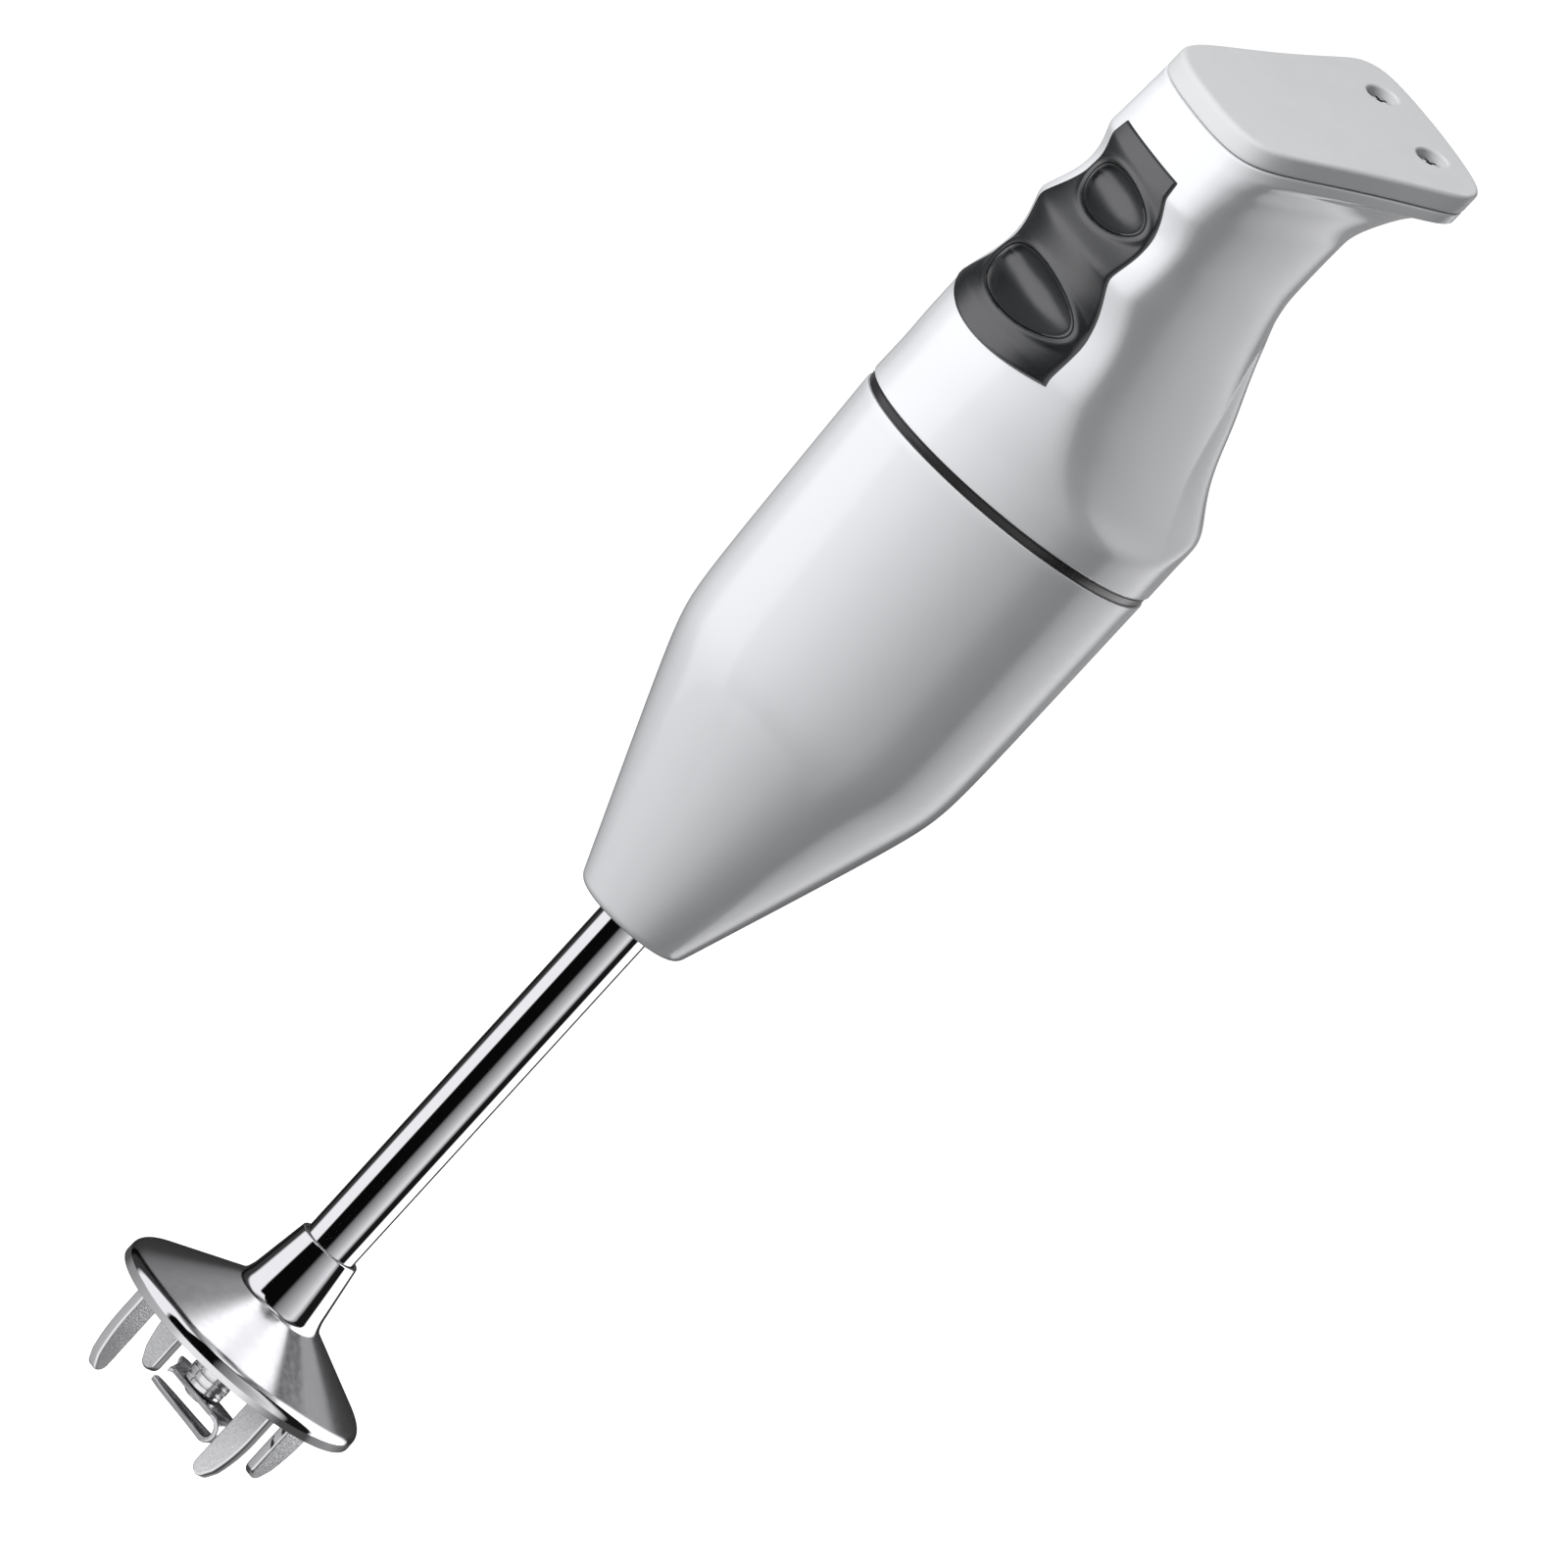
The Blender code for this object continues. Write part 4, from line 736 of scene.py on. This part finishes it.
def cap_screws():
    """Pan-head screws with a cross recess, at the bottom of the cap's two ways."""
    for name, side in (("left", -1), ("right", 1)):
        head = HOLE_RADIUS - 0.5 * MM
        profile = rounded([
            (0.3 * MM, -1.3 * MM, 0), (head * 0.7, -1.4 * MM, 0.5 * MM), (head, -1.9 * MM, 0.3 * MM),
            (head, -2.5 * MM, 0.1 * MM), (SHANK_RADIUS, -2.5 * MM, 0), (SHANK_RADIUS, -8.6 * MM, 0),
        ], False)
        screw = piece(f"screw_{name}", turned(profile, False, 48), "steel", cap_place(side))
        tools = []
        for turn in (0, math.pi / 2):
            slot = [
                [(x * half_x, y * half_y, z) for x, y in ((-1, -1), (1, -1), (1, 1), (-1, 1))]
                for half_x, half_y, z in ((1.5 * MM, 0.28 * MM, -2.3 * MM), (1.7 * MM, 0.36 * MM, -1.0 * MM))
            ]
            tools.append((wrap(slot), cap_place(side) @ Matrix.Rotation(turn, 4, "Z")))
        carve(screw, *tools)
        settle(screw, "housing", f"cap_screw_{name}")


def gland_bar(profile, closed=True):
    """A profile of (radius, y from the shaft's centre line) points turned about the cable's line."""
    points, faces = turned([(radius, along) for radius, along in profile], closed, 64)
    return [(x, AXIS_Y + z, GLAND_MIDDLE.z + y) for x, y, z in points], faces


def cable_gland():
    """A short sleeve with three grip ribs and a rounded mouth."""
    start, end = GLAND_START, GLAND_END
    bore, rib, groove = GLAND_BORE, GLAND_RADIUS, GLAND_RADIUS - 0.35 * MM
    profile = [(bore, start, 0), (rib, start, 0), (rib, end - 4.6 * MM, 0)]
    for number in range(3):
        near = end - (4.6 - 1.2 * number) * MM
        profile += [(groove, near + 0.15 * MM, 0.1 * MM), (groove, near + 0.55 * MM, 0.1 * MM),
                    (rib, near + 0.7 * MM, 0.15 * MM), (rib, near + 1.1 * MM, 0.15 * MM)]
    profile += [(rib, end, 0.5 * MM), (bore, end, 0.4 * MM)]
    settle(piece("gland", gland_bar(rounded(profile)), "black_plastic"), "housing", "cable_gland")


# ---------------------------------------------------------------- finger pad and buttons
def pad_half(z):
    share = (PAD_TOP - z) / (PAD_TOP - PAD_BOTTOM)
    return PAD_HALF_TOP + (PAD_HALF_BOTTOM - PAD_HALF_TOP) * share


def oval_reach(x, z, which, grow=0.0):
    """How far a point of the front view is from a button's middle: one on its outline."""
    height, half_x, half_z, _ = BUTTONS[which]
    return np.sqrt((x / (half_x + grow)) ** 2 + ((z - height) / (half_z + grow)) ** 2)


def button_column(which, grow):
    """An oval bar along y, as large as a button and this much more."""
    height, half_x, half_z, _ = BUTTONS[which]
    angles = np.linspace(0, 2 * math.pi, 128, endpoint=False)
    return wrap([
        [((half_x + grow) * math.cos(a), y + AXIS_Y, height + (half_z + grow) * math.sin(a)) for a in angles]
        for y in (-45 * MM, -18 * MM)
    ])


def grip_pad():
    """A soft skin over the finger grooves, rolled at its edges, with a faint swell around each button."""
    columns, rows = 121, 151
    across = np.linspace(-1, 1, columns)[None, :]
    down = np.linspace(0, 1, rows)[:, None]
    bottom = PAD_BOTTOM - PAD_SAG * (1 - across**2)
    z = PAD_TOP + (bottom - PAD_TOP) * down
    x = across * pad_half(z)
    edge = np.minimum(np.minimum(down, 1 - down) * (PAD_TOP - bottom), (1 - np.abs(across)) * pad_half(z))
    roll = 1 - np.sqrt(np.clip(1 - (1 - np.clip(edge / PAD_ROLL, 0, 1)) ** 2, 0, 1))
    skin = front_skin(x, z)
    swell = 0.0
    for which in BUTTONS:
        reach = (oval_reach(x, z, which) - 1) * BUTTONS[which][2]
        swell = np.maximum(swell, np.exp(-((reach - SWELL_PLACE) / SWELL_WIDTH) ** 2))
    face = skin - PAD_PROUD - swell * SWELL + roll * (PAD_PROUD + 0.1 * MM)
    back = skin + PAD_DEEP
    points = [tuple(p) for grid in (face, back) for p in np.stack([x, grid, z], -1).reshape(-1, 3).tolist()]
    size = columns * rows
    faces = []
    for offset in (0, size):
        for r in range(rows - 1):
            for c in range(columns - 1):
                a = offset + r * columns + c
                faces.append((a, a + 1, a + 1 + columns, a + columns))
    border = [
        *range(columns), *range(2 * columns - 1, size, columns),
        *range(size - 2, size - columns - 1, -1), *range(size - 2 * columns, 0, -columns),
    ]
    for a, b in zip(border, border[1:] + border[:1]):
        faces.append((a, b, b + size, a + size))
    pad = piece("pad", (points, faces), "soft_dark")
    carve(pad, *[(button_column(which, 0.12 * MM), None) for which in BUTTONS], angle=50)
    settle(pad, "housing", "grip_pad")


def buttons():
    """Dished ovals with a fine ridge around the dish."""
    for which, (height, half_x, half_z, dish) in BUTTONS.items():
        angles = np.linspace(0, 2 * math.pi, 128, endpoint=False)
        ox, oz = half_x * np.cos(angles), half_z * np.sin(angles)
        skin = front_skin(ox, height + oz) - PAD_PROUD
        middle = dish + AXIS_Y
        rings = [[(x, BUTTON_BACK + AXIS_Y, height + z) for x, z in zip(ox, oz)]]
        for share in DISH_SHARES:
            off = (1 - share) * half_z
            ridge = RIDGE * math.exp(-((off - RIDGE_PLACE) / RIDGE_WIDTH) ** 2)
            ridge -= RIDGE * 0.35 * (share == 1.0)
            level = min(1.0, share / 0.96) ** DISH_CURVE
            y = middle + (skin - middle) * level - ridge
            rings.append(list(zip(ox * share, y, height + oz * share)))
        key = piece(f"key_{which}", wrap(rings), "soft_dark")
        smooth(key, 60)
        settle(key, f"{which}_button", f"button_{which}")


# ---------------------------------------------------------------- shaft, bell and blade
def shaft_tube():
    low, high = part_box("shaft_tube")[0].z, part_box("shaft_tube")[1].z
    bore = TUBE_RADIUS - 0.8 * MM
    profile = rounded([
        (TUBE_RADIUS, low, 0.15 * MM), (TUBE_RADIUS, high, 0.2 * MM), (bore, high, 0), (bore, low, 0),
    ])
    profile[5:5] = [(TUBE_RADIUS, z) for z in np.linspace(low, high, 30)[1:-1]]
    tube = piece("tube", turned(profile, steps=160), "polished", ON_SHAFT)
    tube.visible_glossy = False
    settle(tube, "housing", "shaft_tube")


def bell():
    """The bell with its collar and rim, satin on the cone and mirror-bright elsewhere."""
    foot, top = CONE_FOOT, CONE_TOP
    lip_top = RIM_BOTTOM + RIM_LIP
    bore = TUBE_RADIUS + 0.15 * MM
    profile = rounded([
        (bore, COLLAR_TOP, 0.12 * MM),
        (COLLAR_TOP_RADIUS, COLLAR_TOP, 0.35 * MM),
        (COLLAR_RADIUS, COLLAR_FOOT, 0.5 * MM),
        (top[0] - 0.3 * MM, top[1] + 0.1 * MM, 1.2 * MM),
        (foot[0], foot[1], 1.3 * MM),
        (RIM_RADIUS - 0.05 * MM, lip_top + 0.35 * MM, 0.6 * MM),
        (RIM_RADIUS, RIM_BOTTOM + 0.1 * MM, 0.3 * MM),
        (RIM_RADIUS - 0.35 * MM, RIM_BOTTOM, 0.2 * MM),
        (RIM_RADIUS - 2.1 * MM, RIM_BOTTOM, 0.2 * MM),
        (foot[0] - 2.1 * MM, foot[1] - 1.8 * MM, 0.6 * MM),
        (top[0] - 0.6 * MM, CEILING, 1.0 * MM),
        (bore, CEILING, 0),
    ], steps=7)
    guard = piece("bell", turned(profile, steps=224), "polished", ON_SHAFT)
    guard.data.materials.append(LOOKS["bell_satin"])
    for face in guard.data.polygons:
        out = math.hypot(face.center.x, face.center.y - AXIS_Y)
        if face.normal.z > 0.5 and CONE_TOP[0] - 0.4 * MM < out < CONE_FOOT[0] + 0.2 * MM:
            face.material_index = 1
    settle(guard, "housing", "bell_guard")


def prong_outline():
    """One prong seen flat: straight inner edge, a bowed outer edge and a round tip near the inner edge."""
    half, tip = PRONG_WIDTH / 2, 1.9 * MM
    bow = [(half - 1.6 * MM * s**2.2, (13.0 - 10.2 * s) * MM) for s in np.linspace(0, 1, 20)]
    round_end = arc((-half + tip, tip), tip, -35, -180, 20)
    return [(half, 21.9 * MM), *bow, *round_end, (-half, 24.9 * MM)]


def prongs():
    """Four cast prongs with rounded, polished edges."""
    outline = prong_outline()
    inner, outer = -PRONG_THICK / 2, PRONG_THICK / 2
    for number in range(4):
        around = PRONG_FIRST + number * math.pi / 2
        out = Vector((math.cos(around), math.sin(around), 0)) * PRONG_RADIUS
        spin = Matrix.Rotation(around + PRONG_SKEW, 4, "Z") @ Matrix.Rotation(math.pi / 2, 4, "X")
        stand = ON_SHAFT @ Matrix.Translation(out) @ spin
        shape = wrap([[(x, y, z) for x, y in outline] for z in (inner, outer)])
        prong = piece(f"prong_{number + 1}", shape, "polished")
        bevel = prong.modifiers.new("Edge", "BEVEL")
        bevel.width = 0.55 * MM
        bevel.segments = 5
        bevel.limit_method = "ANGLE"
        bevel.angle_limit = math.radians(50)
        apply_modifiers(prong)
        prong.data.materials.append(LOOKS["prong_cast"])
        for face in prong.data.polygons:
            face.material_index = int(abs(face.normal.z) > 0.98)
        prong.data.transform(stand)
        smooth(prong, 40)
        settle(prong, "housing")


def blade_hub():
    """A sleeve with two fine grooves, a slotted top and a rounded foot."""
    r = HUB_RADIUS
    bore = 2.8 * MM
    low = HUB_BOTTOM
    profile = rounded([
        (bore, low + 3.0 * MM, 0), (bore, HUB_TOP, 0.1 * MM),
        (r - 0.2 * MM, HUB_TOP, 0.3 * MM), (r - 0.2 * MM, low + 6.2 * MM, 0.2 * MM),
        (r, low + 5.8 * MM, 0.2 * MM), (r, low + 3.5 * MM, 0.12 * MM),
        (r - 0.35 * MM, low + 3.4 * MM, 0.05 * MM), (r - 0.35 * MM, low + 3.1 * MM, 0.05 * MM),
        (r, low + 3.0 * MM, 0.12 * MM), (r, low + 1.7 * MM, 0.12 * MM),
        (r - 0.4 * MM, low + 1.6 * MM, 0.05 * MM), (r - 0.4 * MM, low + 1.35 * MM, 0.05 * MM),
        (r - 0.1 * MM, low + 1.25 * MM, 0.12 * MM), (r - 0.1 * MM, low + 0.05 * MM, 0.3 * MM),
        (0.4 * MM, low, 0),
    ], False)
    hub = piece("hub", turned(profile, False, 128), "polished", ON_SHAFT)
    slot = [(-6 * MM, -1.1 * MM), (6 * MM, -1.1 * MM), (6 * MM, 1.1 * MM), (-6 * MM, 1.1 * MM)]
    carve(hub, (wrap([[(x, y, z) for x, y in slot] for z in (22.3 * MM, 30 * MM)]), ON_SHAFT))
    settle(hub, "blade_set", "blade_hub")


def blade_line():
    """Stations along the strip: x, z, near edge, far edge and twist, in its own frame."""
    rise = (BLADE_UPPER_Z - BLADE_LOWER_Z) / 2
    middle = (BLADE_BEND_X - rise, (BLADE_UPPER_Z + BLADE_LOWER_Z) / 2)
    stations = [(x, BLADE_UPPER_Z, near, far, twist) for x, near, far, twist in BLADE_WING]
    for share, (x, z) in zip(np.linspace(0, 1, 9), arc(middle, rise, 90, -90, 9)):
        half = BLADE_BEND_HALF[0] + (BLADE_BEND_HALF[1] - BLADE_BEND_HALF[0]) * share
        stations.append((x, z, -half, half, -BLADE_PITCH * share))
    return stations + [(x, BLADE_LOWER_Z, -half, half, -BLADE_PITCH) for x, half in BLADE_TAIL]


def blade():
    """A steel strip bent into a U, its upper wing cut back to two points."""
    stations = np.array(blade_line())
    way = np.concatenate([[0], np.cumsum(np.hypot(*np.diff(stations[:, :2], axis=0).T))])
    steps = np.unique(np.concatenate([np.linspace(0, way[-1], 90), way]))
    fine = np.stack([smooth_curve(steps, way, column) for column in stations.T], -1)
    rings = []
    for i, (x, z, near, far, twist) in enumerate(fine):
        before, after = fine[max(0, i - 1)], fine[min(len(fine) - 1, i + 1)]
        along = Vector((after[0] - before[0], after[1] - before[1])).normalized()
        thick, round_off = BLADE_THICK / 2, 0.28 * MM
        row = []
        corners = ((far, thick, 0), (near, thick, 90), (near, -thick, 180), (far, -thick, 270))
        for y_end, h_end, start in corners:
            inward = math.copysign(round_off, y_end - (near + far) / 2), math.copysign(round_off, h_end)
            for y, h in arc((y_end - inward[0], h_end - inward[1]), round_off, start, start + 90, 4):
                across = y * math.cos(twist) - h * math.sin(twist)
                lift = y * math.sin(twist) + h * math.cos(twist)
                row.append((x - along.y * lift, across, z + along.x * lift))
        rings.append(row)
    turn = ON_SHAFT @ Matrix.Rotation(BLADE_TURN, 4, "Z")
    strip = piece("beater", wrap(rings), "blade_steel", turn)
    settle(strip, "blade_set", "blade")


def blade_rivet():
    """A rivet from below the blade into the hub."""
    head, top = BLADE_UPPER_Z - BLADE_THICK / 2, HUB_BOTTOM + 1.4 * MM
    profile = rounded([
        (0.2 * MM, top, 0), (1.5 * MM, top, 0.1 * MM), (1.5 * MM, head, 0), (2.6 * MM, head, 0.1 * MM),
        (2.4 * MM, head - 0.8 * MM, 0.5 * MM), (0.3 * MM, head - 1.0 * MM, 0),
    ], False)
    settle(piece("rivet", turned(profile, False, 48), "steel", ON_SHAFT), "blade_set", "blade_rivet")


# ---------------------------------------------------------------- studio
def glow(name, paint, strength):
    """A stage material that only shines, its colour painted by paint(tree)."""
    made = bpy.data.materials.new(name)
    made.use_nodes = True
    tree = made.node_tree
    tree.nodes.clear()
    lamp = add(tree, "ShaderNodeEmission", Color=paint(tree), Strength=strength)
    out = tree.nodes.new("ShaderNodeOutputMaterial")
    tree.links.new(lamp.outputs["Emission"], out.inputs["Surface"])
    made.cycles.emission_sampling = "NONE"
    return made


def reflected_only(item):
    for kind in ("camera", "diffuse", "transmission", "shadow", "volume_scatter"):
        setattr(item, f"visible_{kind}", False)


def grey(level):
    return (level, level, level * 1.01)


def direction(tree):
    """The point on a stage piece, and its direction from the object as a share of a turn."""
    point = add(tree, "ShaderNodeSeparateXYZ", Vector=places(tree))
    turn = maths(tree, "ARCTAN2", point.outputs["Y"], point.outputs["X"])
    turns = maths(tree, "ADD", maths(tree, "DIVIDE", turn, 2 * math.pi), WALL_START)
    return point, maths(tree, "FRACT", turns, 0.0)


def turn_cards(tree, share, cards):
    return ramp(tree, share, [(0.5 + degrees / 360, grey(level)) for degrees, level in cards])


def height_cards(tree, height, cards):
    return ramp(tree, height, [(z / TENT_TOP, grey(level)) for z, level in cards])


def wall_paint(tree):
    """Cards around the object by direction from it, and by height behind it and on the softbox."""
    point, share = direction(tree)
    height = maths(tree, "DIVIDE", point.outputs["Z"], TENT_TOP)
    low_cards, high_cards = (turn_cards(tree, share, cards) for cards in (WALL_CARDS, HIGH_CARDS))
    around = add(tree, "ShaderNodeMix", {"data_type": "RGBA"}).outputs[2]
    join_colours(tree, around.node, spread(tree, height, 0.0, 1.0, *HIGH_FROM), low_cards, high_cards)
    fading = height_cards(tree, height, SOFTBOX_FADE)
    sides = add(tree, "ShaderNodeMix", {"data_type": "RGBA", "blend_type": "MULTIPLY"}).outputs[2]
    join_colours(tree, sides.node, 1.0, around, fading)
    left, right = (height_cards(tree, height, cards) for cards in (BACK_LEFT, BACK_RIGHT))
    back = add(tree, "ShaderNodeMix", {"data_type": "RGBA"}).outputs[2]
    join_colours(tree, back.node, maths(tree, "GREATER_THAN", share, 0.5), left, right)
    off_front = maths(tree, "ABSOLUTE", maths(tree, "SUBTRACT", share, 0.5), 0.0)
    behind = maths(tree, "GREATER_THAN", off_front, BACK_FROM)
    whole = add(tree, "ShaderNodeMix", {"data_type": "RGBA"}).outputs[2]
    join_colours(tree, whole.node, behind, sides, back)
    return whole


def mat_paint(tree):
    """Cards below the object, seen by its bell and prongs, by direction from it."""
    return turn_cards(tree, direction(tree)[1], MAT_CARDS)


def join_colours(tree, node, factor, one, two):
    """Wires a colour mix by socket place, since its sockets share their names."""
    for socket, value in zip((node.inputs[0], node.inputs[6], node.inputs[7]), (factor, one, two)):
        if isinstance(value, bpy.types.NodeSocket):
            tree.links.new(value, socket)
        else:
            socket.default_value = value


def ceiling_paint(tree):
    """A bright strip overhead between dark and grey ones, across the camera's line of sight."""
    point = add(tree, "ShaderNodeSeparateXYZ", Vector=places(tree))
    right = maths(tree, "ADD", maths(tree, "MULTIPLY", point.outputs["X"], math.cos(VIEW_TURN)),
                  maths(tree, "MULTIPLY", point.outputs["Y"], math.sin(VIEW_TURN)))
    share = maths(tree, "ADD", maths(tree, "DIVIDE", right, 2 * TENT_RADIUS), 0.5)
    stops = [(0.5 + place / (2 * TENT_RADIUS), grey(level)) for place, level in CEILING_CARDS]
    return ramp(tree, share, stops)


def stage_piece(name, shape, material):
    item = bpy.data.objects.new(name, mesh_of(name, *shape))
    bpy.context.scene.collection.objects.link(item)
    item.data.materials.append(material)
    return item


def studio():
    circle = [(math.cos(a), math.sin(a)) for a in np.linspace(0, 2 * math.pi, 96, endpoint=False)]
    disc = [tuple(range(len(circle)))]
    slab = [[(x * FLOOR_RADIUS, y * FLOOR_RADIUS, z) for x, y in circle] for z in (FLOOR_Z - 0.05, FLOOR_Z)]
    floor_look = bpy.data.materials.new("floor_white")
    floor_look.use_nodes = True
    shader = floor_look.node_tree.nodes["Principled BSDF"]
    shader.inputs["Base Color"].default_value = (0.9, 0.9, 0.9, 1)
    shader.inputs["Roughness"].default_value = 0.9
    shader.inputs["Specular IOR Level"].default_value = 0.0
    shader.inputs["Emission Color"].default_value = (1, 1, 1, 1)
    shader.inputs["Emission Strength"].default_value = FLOOR_GLOW
    floor_look.cycles.emission_sampling = "NONE"
    floor = stage_piece("floor", wrap(slab), floor_look)
    floor.visible_diffuse = False

    wall = [[(x * TENT_RADIUS, y * TENT_RADIUS, z) for x, y in circle] for z in (FLOOR_Z + 0.001, TENT_TOP)]
    points, faces = wrap(wall)
    reflected_only(stage_piece("tent_wall", (points, faces[:-2]), glow("tent_wall", wall_paint, 1.0)))
    lid = ([(x * TENT_RADIUS, y * TENT_RADIUS, TENT_TOP) for x, y in circle], disc)
    reflected_only(stage_piece("tent_lid", lid, glow("tent_lid", ceiling_paint, 1.0)))
    mat = ([(x * TENT_RADIUS, y * TENT_RADIUS, FLOOR_Z + 1.2 * MM) for x, y in circle], disc)
    reflected_only(stage_piece("tent_mat", mat, glow("tent_mat", mat_paint, 1.0)))

    for name, turn, lift, distance, size, power in LAMPS:
        data = bpy.data.lights.new(name, "AREA")
        data.shape = "RECTANGLE"
        data.size, data.size_y = size
        data.energy = power
        data.specular_factor = 0.0
        lamp = bpy.data.objects.new(name, data)
        around, up = VIEW_TURN - math.pi / 2 + math.radians(turn), math.radians(lift)
        spot = Vector((math.cos(around) * math.cos(up), math.sin(around) * math.cos(up), math.sin(up)))
        lamp.location = MIDDLE + spot * distance
        lamp.rotation_euler = spot.to_track_quat("Z", "Y").to_euler()
        lamp.visible_glossy = False
        bpy.context.scene.collection.objects.link(lamp)

    world = bpy.data.worlds.new("studio")
    bpy.context.scene.world = world
    world.use_nodes = True
    world.node_tree.nodes["Background"].inputs["Color"].default_value = (1, 1, 1, 1)
    world.node_tree.nodes["Background"].inputs["Strength"].default_value = WORLD_LIGHT


def camera():
    """A long lens a little above the level, turned so that the shaft runs up to the right."""
    data = bpy.data.cameras.new("camera")
    item = bpy.data.objects.new("camera", data)
    bpy.context.scene.collection.objects.link(item)
    bpy.context.scene.camera = item
    data.sensor_width = 36
    data.lens = CAMERA_LENS
    lift = math.radians(CAMERA_LIFT)
    level = math.cos(lift)
    back = Vector((math.sin(VIEW_TURN) * level, -math.cos(VIEW_TURN) * level, math.sin(lift)))
    right = Vector((math.cos(VIEW_TURN), math.sin(VIEW_TURN), 0))
    up = back.cross(right)
    roll = math.radians(CAMERA_ROLL)
    across = right * math.cos(roll) + up * math.sin(roll)
    above = up * math.cos(roll) - right * math.sin(roll)
    target = Vector((0, AXIS_Y, CAMERA_HEIGHT)) + right * CAMERA_ASIDE
    turn = Matrix((across, above, back)).transposed().to_4x4()
    item.matrix_world = Matrix.Translation(target + back * CAMERA_DISTANCE) @ turn
    data.clip_start, data.clip_end = 0.05, 100


lower_housing()
trim_ring()
upper_housing()
top_cap()
cap_screws()
cable_gland()
grip_pad()
buttons()
shaft_tube()
bell()
prongs()
blade_hub()
blade()
blade_rivet()
for part in frame["record"]["subparts"]:
    node = frame["nodes"][part["node"]]
    look = NODE_LOOKS.get(part["node"], part["material_slot"])
    node.data.materials.clear()
    node.data.materials.append(LOOKS[look])
frame["nodes"]["drive_shaft"].visible_glossy = False
studio()
camera()
bpy.context.scene.view_settings.view_transform = "Standard"
